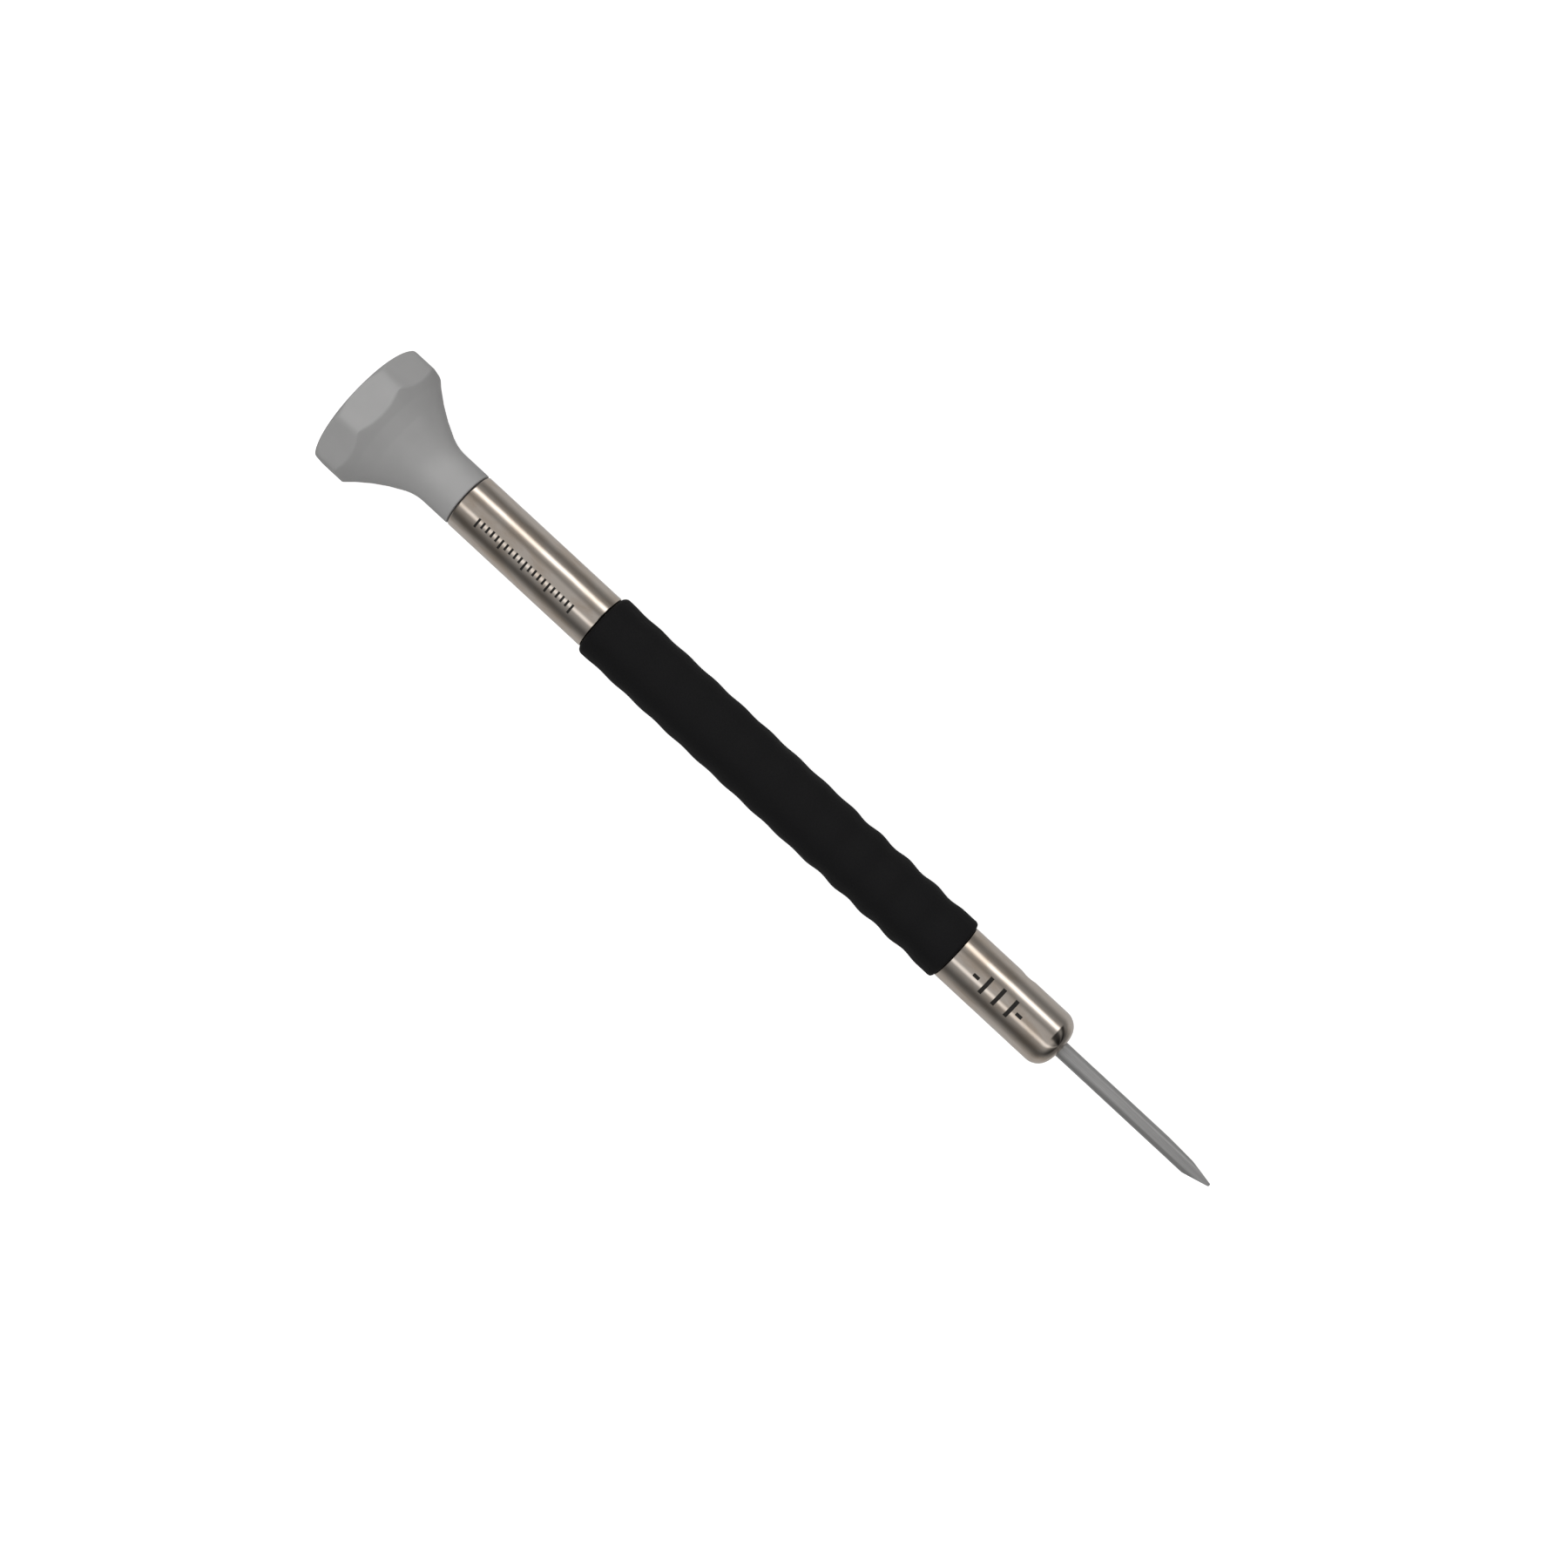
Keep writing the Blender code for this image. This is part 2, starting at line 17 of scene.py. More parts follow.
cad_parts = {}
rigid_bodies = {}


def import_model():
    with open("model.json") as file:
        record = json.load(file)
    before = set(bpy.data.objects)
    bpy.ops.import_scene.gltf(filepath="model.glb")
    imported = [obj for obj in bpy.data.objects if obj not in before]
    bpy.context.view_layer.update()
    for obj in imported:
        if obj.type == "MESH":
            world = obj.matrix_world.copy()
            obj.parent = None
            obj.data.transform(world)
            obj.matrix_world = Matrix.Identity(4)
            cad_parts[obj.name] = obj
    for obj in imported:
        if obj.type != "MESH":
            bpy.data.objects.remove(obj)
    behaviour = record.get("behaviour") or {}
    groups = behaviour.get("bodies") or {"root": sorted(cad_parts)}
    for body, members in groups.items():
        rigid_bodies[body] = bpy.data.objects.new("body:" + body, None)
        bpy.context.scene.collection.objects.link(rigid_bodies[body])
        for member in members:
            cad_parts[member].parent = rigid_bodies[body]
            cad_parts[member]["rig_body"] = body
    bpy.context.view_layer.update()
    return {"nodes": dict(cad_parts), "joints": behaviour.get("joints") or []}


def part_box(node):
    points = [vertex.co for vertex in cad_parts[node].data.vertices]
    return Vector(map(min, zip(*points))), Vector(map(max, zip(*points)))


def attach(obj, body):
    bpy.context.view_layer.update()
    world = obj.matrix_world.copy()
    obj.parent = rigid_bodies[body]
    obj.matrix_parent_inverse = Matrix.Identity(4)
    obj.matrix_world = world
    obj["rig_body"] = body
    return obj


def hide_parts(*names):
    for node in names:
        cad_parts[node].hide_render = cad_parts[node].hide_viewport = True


bl_info = {
    "name": "Watchmaker's Screwdriver",
    "version": (1, 0, 0),
    "blender": (4, 5, 0),
    "location": "View3D > Sidebar > Screwdriver",
    "description": "Builds the fine pieces, finishes and studio of a watchmaker's screwdriver",
    "category": "Object",
}

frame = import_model()

MM = 0.001
WELD = 1e-4  # points of one piece nearer than this many millimetres are one point
FIXED_GAP = 0.02  # between two pieces that are pressed or glued together, in millimetres
BORE_GAP = 0.01  # between the pin and the bearing that is pressed on it
SCREW_GAP = 0.03  # between the clamp screw and its hole

JOINTS = {joint["name"]: joint for joint in frame["joints"]}
AXIS = Vector(JOINTS["head_swivel"]["axis"]).normalized()
ANCHOR = Vector(JOINTS["head_swivel"]["pos_m"])
ACROSS = Vector((0, 1, 0))
TILT = math.atan2(-AXIS.z, AXIS.x)


def stations_m(node, start):
    """How far a node's first and last point lie along the axis from a point on it, in metres."""
    along = [(vertex.co - start).dot(AXIS) for vertex in frame["nodes"][node].data.vertices]
    return min(along), max(along)


ORIGIN = ANCHOR + stations_m("head_shell", ANCHOR)[0] * AXIS
TOOL_TO_ROW = (
    Matrix.Translation(ORIGIN)
    @ Matrix((AXIS, ACROSS, AXIS.cross(ACROSS))).transposed().to_4x4()
    @ Matrix.Scale(MM, 4)
)


def span(node):
    """The first and last station of a CAD node, in millimetres."""
    first, last = stations_m(node, ORIGIN)
    return first / MM, last / MM


def rings(node, until=math.inf):
    """Each vertex of a CAD node up to a station, as (station, distance from the axis) in mm."""
    points = [(vertex.co - ORIGIN) / MM for vertex in frame["nodes"][node].data.vertices]
    pairs = [(point.dot(AXIS), point) for point in points]
    return [(at, (point - at * AXIS).length) for at, point in pairs if at < until]


def reach(node, until=math.inf):
    """The largest distance of a CAD node from the tool's axis, in millimetres."""
    return max(radius for _, radius in rings(node, until))


def bore(node):
    """The smallest distance of a CAD node from the tool's axis, in millimetres."""
    return min(radius for _, radius in rings(node))


def flange_end():
    """The station where the finger cap's wide flange ends."""
    edge = reach("finger_cap") - FIXED_GAP
    return max(at for at, radius in rings("finger_cap") if radius > edge)


def tail_radius():
    """The radius of the blade holder's tail, inside the rear barrel."""
    return reach("blade_holder", span("rear_barrel")[1])


def srgb(code):
    """Turns a hex colour such as #9a9a9a into linear red, green and blue."""
    parts = [int(code[i : i + 2], 16) / 255 for i in (1, 3, 5)]
    return tuple(p / 12.92 if p <= 0.04045 else ((p + 0.055) / 1.055) ** 2.4 for p in parts)


def length(name, description, millimetres, lowest=0.0):
    return bpy.props.FloatProperty(
        name=name, description=description, default=millimetres * MM, min=lowest,
        unit="LENGTH", precision=5,
    )


def colour(name, description, code):
    return bpy.props.FloatVectorProperty(
        name=name, description=description, default=srgb(code), min=0.0, max=1.0,
        size=3, subtype="COLOR",
    )


def degrees(name, description, value):
    return bpy.props.FloatProperty(
        name=name, description=description, default=math.radians(value), subtype="ANGLE",
    )


def factor(name, description, value, highest=1.0):
    return bpy.props.FloatProperty(
        name=name, description=description, default=value, min=0.0, max=highest, subtype="FACTOR",
    )


class HeadSettings(bpy.types.PropertyGroup):
    sides: bpy.props.IntProperty(
        name="Flats", description="Number of flats round the head's rim", default=8, min=3, max=16,
    )
    rim_height: length("Rim height", "From the end face to where the flare starts", 2.45)
    rim_rounding: length("Rim rounding", "Radius between the end face and the rim", 0.7)
    edge_softness: length("Edge softness", "Width over which a flat rolls into its neighbour", 0.12)
    neck_straight: length("Straight neck", "Length of the neck before the joint", 2.5)
    neck_blend_radius: length("Neck blend", "Radius of the arc that runs into the neck", 4.0)
    neck_blend_angle: degrees("Neck blend angle", "Slope where that arc meets the flare", 25)
    dish_depth: length("Dish depth", "Depth of the fingertip dish in the cap", 0.45)
    dish_margin: length("Dish margin", "Flat ring round the dish", 0.8)
    skirt_wall: length("Cap skirt", "Wall of the skirt that holds the bearing", 0.45)


class HandleSettings(bpy.types.PropertyGroup):
    edge_rounding: length("Edge rounding", "Radius on the ends of the plated pieces", 0.12)
    nose_rounding: length("Nose rounding", "Radius of the nose's front edge", 1.45)
    grip_rounding: length("Grip rounding", "Radius on the front end of the sleeve", 0.3)
    grip_rear_rounding: length("Grip rear rounding", "Radius on its rear end", 0.5)
    rib_pitch: length("Rib pitch", "Distance from one moulded groove to the next", 3.0)
    rib_land: length("Rib land", "Plain length in front of the first groove", 1.6)
    rib_depth: length("Rib depth", "Depth of the finger grooves at the front", 0.15)
    deep_ribs: bpy.props.IntProperty(
        name="Deep ribs", description="Number of full-depth grooves at the front", default=4, min=0,
    )
    faint_rib_depth: length("Faint rib depth", "Depth of the grooves on the rest", 0.07)
    mark_depth: length("Mark depth", "Depth of the engraved marks", 0.03)
    scale_start: length("Scale start", "From the barrel's rear end to its first engraved line", 2.0)
    scale_pitch: length("Scale pitch", "Distance between engraved lines", 0.5)
    scale_width: length("Scale line", "Width of one engraved line", 0.2)
    scale_lines: bpy.props.IntProperty(
        name="Scale lines", description="Number of engraved lines on the rear barrel", default=21,
    )
    scale_from: degrees("Scale from", "Where the lines start round the barrel, from the top", 14)
    scale_to: degrees("Scale to", "Where the longest lines end", 34)
    tally_start: length("Tally start", "From the nose's rear end to its first mark", 2.1)


class BladeSettings(bpy.types.PropertyGroup):
    wedge_length: length("Wedge length", "Length of the ground tip", 2.2)
    tip_thickness: length("Tip thickness", "Thickness of the driving edge", 0.25)
    ground_length: length("Ground length", "Length of the flat beside the wedge", 5.0)
    ground_depth: length("Ground depth", "Depth of that flat where the wedge starts", 0.15)
    slot_width: length("Slot width", "Width of the clamp screw's slot", 0.3)
    slot_depth: length("Slot depth", "Depth of the clamp screw's slot", 0.4)
    slot_turn: degrees("Slot turn", "How far the slot is turned from the tool's axis", 25)
    thread_pitch: length("Thread pitch", "Pitch of the clamp screw's thread", 0.35)
    thread_depth: length("Thread depth", "Depth of the clamp screw's thread", 0.12)


class BearingSettings(bpy.types.PropertyGroup):
    edge_rounding: length("Edge rounding", "Radius on the rings' corners", 0.12)
    groove_clearance: length("Groove clearance", "Between a ball and its groove", 0.02)
    shoulder: length("Shoulder", "From the ball circle to a ring's shoulder", 0.38)
    retainer_wall: length("Retainer wall", "Thickness of the ball retainer", 0.4)
    retainer_pocket: length("Retainer pocket", "Clearance round a ball in its pocket", 0.04)
    groove_depth: length("Clip groove", "Depth of the snap ring's groove in the pin", 0.26)


class FinishSettings(bpy.types.PropertyGroup):
    head_grey: colour("Head grey", "Moulded plastic of the head", "#b3b3b3")
    rubber_black: colour("Rubber black", "Moulded rubber of the grip", "#151516")
    nickel: colour("Nickel", "Plating of the barrel and nose", "#d6cdc4")
    nickel_warm: colour("Handled nickel", "Plating where hands have dulled it", "#c9bbad")
    tool_steel: colour("Tool steel", "Hardened and ground blade", "#c6c6c6")
    dark_steel: colour("Blackened steel", "Oxide-blackened clamp screw", "#55524f")
    bearing_steel: colour("Bearing steel", "Polished rings, balls and pin", "#c4c6c8")
    brass: colour("Brass", "Bush and ball retainer", "#c9a55a")
    nylon: colour("Nylon", "Thrust washer", "#1b1b1c")
    enamel: colour("Enamel", "Black filling of the engraved marks", "#1c1a17")


class StudioSettings(bpy.types.PropertyGroup):
    camera_distance: length("Camera distance", "From the middle of the tool to the camera", 195)
    camera_lens: bpy.props.FloatProperty(
        name="Lens", description="Focal length on a 36 mm wide sensor", default=56.1,
        unit="CAMERA",
    )
    lean_along: degrees("Lean along", "Camera's lean from straight above towards the blade", 2.94)
    lean_across: degrees("Lean across", "Camera's lean towards -Y", 4.2)
    camera_turn: degrees("Camera turn", "How far the camera is turned about its own line", 42.74)
    aim_along: length(
        "Aim along", "Where the camera aims, along the tool from its middle", -0.53, -1.0
    )
    aim_across: length("Aim across", "Where the camera aims, across the tool", 0.5, -1.0)
    tent_level: factor("Light tent", "Brightness of the plain light tent", 0.5, 5)
    ceiling_power: bpy.props.FloatProperty(
        name="Ceiling light", description="Power of the soft light above", default=1.44,
        unit="POWER", min=0.0,
    )
    table_glow: factor("Table glow", "Light that the opal table gives off itself", 0.65, 5)


def settings(name):
    """One group of the panel's values, with every length in millimetres."""
    group = getattr(bpy.context.scene, name)
    values = {}
    for prop in group.bl_rna.properties:
        if prop.identifier in ("rna_type", "name"):
            continue
        value = getattr(group, prop.identifier)
        values[prop.identifier] = value / MM if prop.unit == "LENGTH" else value
    return SimpleNamespace(**values)


# ---------------------------------------------------------------- shapes

Arc = namedtuple("Arc", "centre turn")  # centre is (station, radius), turn is in degrees

FULL_TURN = 2 * math.pi
ARC_STEP = 6.0  # degrees between two points of an arc
ROUNDING_SEGMENTS = 4
FINE_STEPS = 160
HEAD_STEPS = 320
SMALL_STEPS = 96
SHARP_ANGLE = math.radians(28)
POCKET_STEPS = 48
RIB_STEPS = 12
BALL_SUBDIVISIONS = 4
SCALLOP_STEP = 0.1  # between two rings of the head's mesh, where the flats run out
SCALLOP_REACH = 2.8  # how far past the rim the flats can reach
NEAR_SURFACE = 0.99  # a face farther out than this share of a radius lies on the surface
ENGRAVING_SLOPE = 3  # how many times deeper than wide an engraved mark's wall is
BLADE_STEP = 1.0  # between two rings of the blade's mesh, near its ground flats
BLADE_STOP_GAP = 0.08  # between the blade and the end of its hole

# Roundings of the small edges, in millimetres.
STAMPED_EDGE = 0.03
LIP_EDGE = 0.04
FINE_EDGE = 0.05
BORE_EDGE = 0.06
SOFT_EDGE = 0.08
FIRM_EDGE = 0.1
PIN_EDGE = 0.12
CAP_EDGE = 0.15
END_EDGE = 0.2

# The clamp screw's plain top and the run-out under its thread, in millimetres.
SCREW_TOP = 0.2
THREAD_RUNOUT = 0.1

# The scale on the barrel: every so many lines one is longer, by so many degrees.
LONG_LINE_EVERY = 5
LONG_LINE_DEG = 7


def drawn(outline):
    """An outline as connected points. (station, radius, rounding) rounds that corner.

    An Arc carries on from the point before it; a positive turn goes clockwise when the blade is
    to the right. An outline that keeps off the axis is closed into a loop."""
    bm = bmesh.new()
    corners = []
    last = None
    for step in outline:
        if isinstance(step, Arc):
            steps = max(2, math.ceil(abs(step.turn) / ARC_STEP))
            made = bmesh.ops.spin(
                bm, geom=[last], cent=(step.centre[0], 0, step.centre[1]), axis=(0, 1, 0),
                angle=math.radians(step.turn), steps=steps,
            )
            last = next(item for item in made["geom_last"] if isinstance(item, bmesh.types.BMVert))
            continue
        point = bm.verts.new((step[0], 0, step[1]))
        if last is not None:
            bm.edges.new((last, point))
        if len(step) == 3:
            corners.append((point, step[2]))
        last = point
    first = bm.verts[:1][0]
    if first.co.z > WELD or last.co.z > WELD:
        bm.edges.new((last, first))
    for corner, rounding in corners:
        bmesh.ops.bevel(
            bm, geom=[corner], offset=rounding, offset_type="OFFSET", segments=ROUNDING_SEGMENTS,
            profile=0.5, affect="VERTICES", material=-1,
        )
    return bm


def spun(bm, steps=FINE_STEPS):
    """Spins a drawn outline once round the tool's axis."""
    bmesh.ops.spin(
        bm, geom=bm.verts[:] + bm.edges[:], cent=(0, 0, 0), axis=(1, 0, 0), angle=FULL_TURN,
        steps=steps, use_merge=True,
    )
    bmesh.ops.remove_doubles(bm, verts=bm.verts, dist=WELD)
    bmesh.ops.recalc_face_normals(bm, faces=bm.faces)
    return bm


def divide(bm, longest, start, end):
    """Splits the edges of an outline between two stations, so that none is longer than longest."""
    for edge in bm.edges[:]:
        middle = (edge.verts[0].co.x + edge.verts[1].co.x) / 2
        cuts = math.ceil(edge.calc_length() / longest) - 1
        if cuts > 0 and start <= middle <= end:
            bmesh.ops.subdivide_edges(bm, edges=[edge], cuts=cuts)


def carved(bm, cutter):
    """What is left of one shape when another is cut out of it."""
    helpers = []
    for shape in (bm, cutter):
        bmesh.ops.recalc_face_normals(shape, faces=shape.faces)
        mesh = bpy.data.meshes.new("carving")
        shape.to_mesh(mesh)
        shape.free()
        helper = bpy.data.objects.new("carving", mesh)
        bpy.context.scene.collection.objects.link(helper)
        helpers.append(helper)
    modifier = helpers[0].modifiers.new("carve", "BOOLEAN")
    modifier.operation = "DIFFERENCE"
    modifier.solver = "EXACT"
    modifier.object = helpers[1]
    left = bmesh.new()
    left.from_object(helpers[0], bpy.context.evaluated_depsgraph_get())
    for helper in helpers:
        mesh = helper.data
        bpy.data.objects.remove(helper)
        bpy.data.meshes.remove(mesh)
    return left


def ground(bm, point, outwards):
    """Grinds a flat: everything outwards of a plane is taken off and the cut is closed."""
    cut = bmesh.ops.bisect_plane(
        bm, geom=bm.verts[:] + bm.edges[:] + bm.faces[:], dist=WELD, plane_co=point,
        plane_no=outwards, clear_outer=True,
    )
    rim = [item for item in cut["geom_cut"] if isinstance(item, bmesh.types.BMEdge)]
    bmesh.ops.holes_fill(bm, edges=rim, sides=0)


def round_angle(point):
    """How far a point lies round the tool, in degrees from the top towards -Y."""
    return math.degrees(math.atan2(-point.y, point.z))


def engrave(bm, marks, radius, depth):
    """Sinks rectangular marks (start, end, from, to) into a turned surface and fills them.

    Start and end are stations that the outline holds; from and to are degrees round the tool."""
    chosen = []
    for face in bm.faces:
        middle = face.calc_center_median()
        if math.hypot(middle.y, middle.z) < radius * NEAR_SURFACE:
            continue
        angle = round_angle(middle)
        for start, end, low, high in marks:
            if start < middle.x < end and low < angle < high:
                chosen.append(face)
                break
    for face in chosen:
        face.material_index = 1
    walls = bmesh.ops.inset_region(
        bm, faces=chosen, use_boundary=True, use_even_offset=True, depth=-depth,
        thickness=depth / ENGRAVING_SLOPE,
    )
    for face in walls["faces"]:
        face.material_index = 1


def add_piece(name, bm, coats, node):
    """Lays a shape where the model lies, as a piece that stands for one CAD node."""
    bmesh.ops.remove_doubles(bm, verts=bm.verts, dist=WELD)
    bmesh.ops.recalc_face_normals(bm, faces=bm.faces)
    bmesh.ops.transform(bm, matrix=TOOL_TO_ROW, verts=bm.verts)
    mesh = bpy.data.meshes.new(name)
    bm.to_mesh(mesh)
    bm.free()
    mesh.shade_smooth()
    mesh.set_sharp_from_angle(angle=SHARP_ANGLE)
    for coat_name in coats:
        mesh.materials.append(finishes()[coat_name])
    piece = bpy.data.objects.new(name, mesh)
    bpy.context.scene.collection.objects.link(piece)
    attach(piece, frame["nodes"][node]["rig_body"])
    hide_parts(node)
    return piece


# ---------------------------------------------------------------- finishes


def add_node(tree, kind, links=None, values=None, **own):
    """Adds a node: own are its settings, values its unlinked inputs, links its linked ones."""
    made = tree.nodes.new(kind)
    for key, value in own.items():
        setattr(made, key, value)
    for key, value in (values or {}).items():
        made.inputs[key].default_value = value
    for key, socket in (links or {}).items():
        tree.links.new(socket, made.inputs[key])
    return made


def new_material(name):
    """An empty material and its node tree."""
    made = bpy.data.materials.new(name)
    made.use_nodes = True
    made.node_tree.nodes.clear()
    return made, made.node_tree


def rgba(value, brightness=1.0):
    """A linear colour with full opacity, made brighter or darker by a factor."""
    return (*(channel * brightness for channel in value), 1.0)


def shades(tone, dark, light):
    """A tone's darkest and lightest shade, as factors of it."""
    return rgba(tone, dark), rgba(tone, light)


def pattern(tree, cell, values, kind="ShaderNodeTexNoise", **own):
    """A texture whose cells measure the given millimetres along, across and up the tool."""
    place = add_node(tree, "ShaderNodeTexCoord")
    laid = add_node(
        tree, "ShaderNodeMapping", {"Vector": place.outputs["Object"]},
        {"Location": ORIGIN, "Rotation": (0, TILT, 0), "Scale": tuple(side * MM for side in cell)},
        vector_type="TEXTURE",
    )
    made = add_node(
        tree, kind, {"Vector": laid.outputs["Vector"]}, {"Scale": 1.0, **values}, **own
    )
    return made.outputs[0]


def coat(tree, tint, tones, dull, roughness, raised, relief, values, **own):
    """Builds a surface from its patterns. tint runs it between two tones and dull between two
    roughnesses. raised links the bump, whose strength and height in millimetres are relief."""
    tone = add_node(
        tree, "ShaderNodeMix", {"Factor": tint}, {"A": tones[0], "B": tones[1]}, data_type="RGBA"
    )
    rough = add_node(
        tree, "ShaderNodeMapRange", {"Value": dull},
        {"From Min": 0.3, "From Max": 0.7, "To Min": roughness[0], "To Max": roughness[1]},
    )
    bump = add_node(
        tree, "ShaderNodeBump", raised, {"Strength": relief[0], "Distance": relief[1] * MM}, **own
    )
    shader = add_node(
        tree, "ShaderNodeBsdfPrincipled",
        {
            "Base Color": tone.outputs["Result"],
            "Roughness": rough.outputs["Result"],
            "Normal": bump.outputs["Normal"],
        },
        values,
    )
    add_node(tree, "ShaderNodeOutputMaterial", {"Surface": shader.outputs["BSDF"]})


def moulded_abs(finish):
    """Moulded ABS with a fine spark-eroded skin: dull, even grey, soft grain, no clear reflection."""
    made, tree = new_material("moulded_grey_abs")
    # The real grain is about 0.04 mm; it is drawn at 0.14 mm so that it shows at all.
    grain = pattern(tree, (0.14, 0.14, 0.14), {"Detail": 3.0, "Roughness": 0.6})
    # Flow of the melt: faint clouds about 2 mm across.
    cloud = pattern(tree, (2.6, 1.8, 1.8), {"Detail": 2.0, "Roughness": 0.5})
    coat(
        tree, cloud, shades(finish.head_grey, 0.94, 1.06), dull=grain, roughness=(0.44, 0.6),
        raised={"Height": grain}, relief=(0.25, 0.012),
        values={"IOR": 1.54, "Specular IOR Level": 0.35},
    )
    return made


def plated_nickel(finish):
    """Bright nickel on turned brass: mirror-like with a warm cast, handled, with hairline polish."""
    made, tree = new_material("bright_nickel_plate")
    # Polishing lines run round the tube, 0.05 mm apart in reality and drawn at 0.16 mm.
    lines = pattern(tree, (0.16, 9.0, 9.0), {"Detail": 2.0, "Roughness": 0.6})
    hairlines = add_node(
        tree, "ShaderNodeBump", {"Height": lines}, {"Strength": 0.15, "Distance": 0.003 * MM}
    )
    # Handling leaves duller, warmer patches about 3 mm long.
    patches = pattern(tree, (3.4, 1.3, 1.3), {"Detail": 4.0, "Roughness": 0.55, "Distortion": 0.4})
    worn = add_node(
        tree, "ShaderNodeMapRange", {"Value": patches},
        {"From Min": 0.42, "From Max": 0.66, "To Min": 0.0, "To Max": 1.0},
    )
    # Plating over a hand-polished tube is never quite straight: waves 4 mm long.
    waves = pattern(tree, (4.0, 1.6, 1.6), {"Detail": 1.0})
    coat(
        tree, worn.outputs["Result"], (rgba(finish.nickel), rgba(finish.nickel_warm)),
        dull=patches, roughness=(0.08, 0.16),
        raised={"Height": waves, "Normal": hairlines.outputs["Normal"]}, relief=(0.5, 0.03),
        values={"Metallic": 1.0},
    )
    return made


def moulded_rubber(finish):
    """Moulded nitrile rubber with a pebbled skin: deep matt black that swallows highlights."""
    made, tree = new_material("black_nitrile_rubber")
    # The mould's pebble grain is 0.3 mm across.
    pebbles = pattern(
        tree, (0.3, 0.3, 0.3), {"Randomness": 0.9}, "ShaderNodeTexVoronoi", feature="SMOOTH_F1"
    )
    # Dust and skin wear lift the black in streaks about 4 mm long.
    dust = pattern(tree, (3.8, 0.9, 0.9), {"Detail": 4.0, "Roughness": 0.6})
    coat(
        tree, dust, shades(finish.rubber_black, 0.7, 1.5), dull=dust, roughness=(0.62, 0.82),
        raised={"Height": pebbles}, relief=(0.6, 0.03),
        values={"IOR": 1.52, "Specular IOR Level": 0.16}, invert=True,
    )
    return made


def ground_steel(finish):
    """Hardened tool steel, ground lengthwise: satin grey with fine straight lines."""
    made, tree = new_material("ground_tool_steel")
    # Grinding lines are 0.03 mm apart; every few of them are drawn as one, 0.09 mm apart.
    lines = pattern(tree, (12.0, 0.09, 0.09), {"Detail": 3.0, "Roughness": 0.65})
    coat(
        tree, lines, shades(finish.tool_steel, 0.72, 1.28), dull=lines, roughness=(0.68, 0.52),
        raised={"Height": lines}, relief=(0.5, 0.006), values={"Metallic": 1.0},
    )
    return made


ROUND_STRETCH = 60  # a turning mark is this many times longer round the tool than along it
WIDTH_TO_DEPTH = 20  # a mark or grain is this many times wider than deep


def turned_metal(name, tone, smooth, rough, turn_mm):
    """Metal with turning marks round the tool's axis, turn_mm apart, and slight patches of tone."""
    made, tree = new_material(name)
    round_mm = ROUND_STRETCH * turn_mm
    marks = pattern(tree, (turn_mm, round_mm, round_mm), {"Detail": 2.0, "Roughness": 0.6})
    coat(
        tree, marks, shades(tone, 0.88, 1.1), dull=marks, roughness=(smooth, rough),
        raised={"Height": marks}, relief=(0.4, turn_mm / WIDTH_TO_DEPTH), values={"Metallic": 1.0},
    )
    return made


def speckled(name, tone, smooth, rough, grain_mm, ior):
    """A dense, dark, non-metallic finish with a fine grain, such as nylon or fired enamel."""
    made, tree = new_material(name)
    grain = pattern(tree, (grain_mm,) * 3, {"Detail": 3.0})
    coat(
        tree, grain, shades(tone, 0.7, 1.4), dull=grain, roughness=(smooth, rough),
        raised={"Height": grain}, relief=(0.3, grain_mm / WIDTH_TO_DEPTH), values={"IOR": ior},
    )
    return made


def finishes():
    """All finishes by name, made the first time that one is asked for."""
    if not FINISHES:
        tones = settings("screwdriver_finishes")
        FINISHES.update(
            abs=moulded_abs(tones),
            nickel=plated_nickel(tones),
            rubber=moulded_rubber(tones),
            blade=ground_steel(tones),
            # Chemically blackened steel: dark and satin, with turning marks showing through.
            screw=turned_metal(
                "blackened_steel", tones.dark_steel, smooth=0.32, rough=0.46, turn_mm=0.05
            ),
            # Hardened chrome steel, lapped almost to a mirror.
            bearing=turned_metal(
                "lapped_chrome_steel", tones.bearing_steel, smooth=0.06, rough=0.14, turn_mm=0.04
            ),
            # Free-cutting brass straight from the lathe: yellow, satin, with clear tool marks.
            brass=turned_metal("turned_brass", tones.brass, smooth=0.2, rough=0.34, turn_mm=0.08),
            # Punched nylon sheet: dark, slightly waxy.
            nylon=speckled(
                "black_nylon_sheet", tones.nylon, smooth=0.4, rough=0.55, grain_mm=0.1, ior=1.53
            ),
            # Enamel wiped into the engraving: nearly black, with dull grit.
            enamel=speckled(
                "black_engraving_enamel", tones.enamel, smooth=0.5, rough=0.7, grain_mm=0.08, ior=1.5
            ),
        )
    return FINISHES


FINISHES = {}


# ---------------------------------------------------------------- pieces


def soft_min(a, b, width):
    """The smaller of two lengths, rolling from one to the other over a width."""
    share = max(width - abs(a - b), 0.0) / width
    return min(a, b) - share * share * width / 4


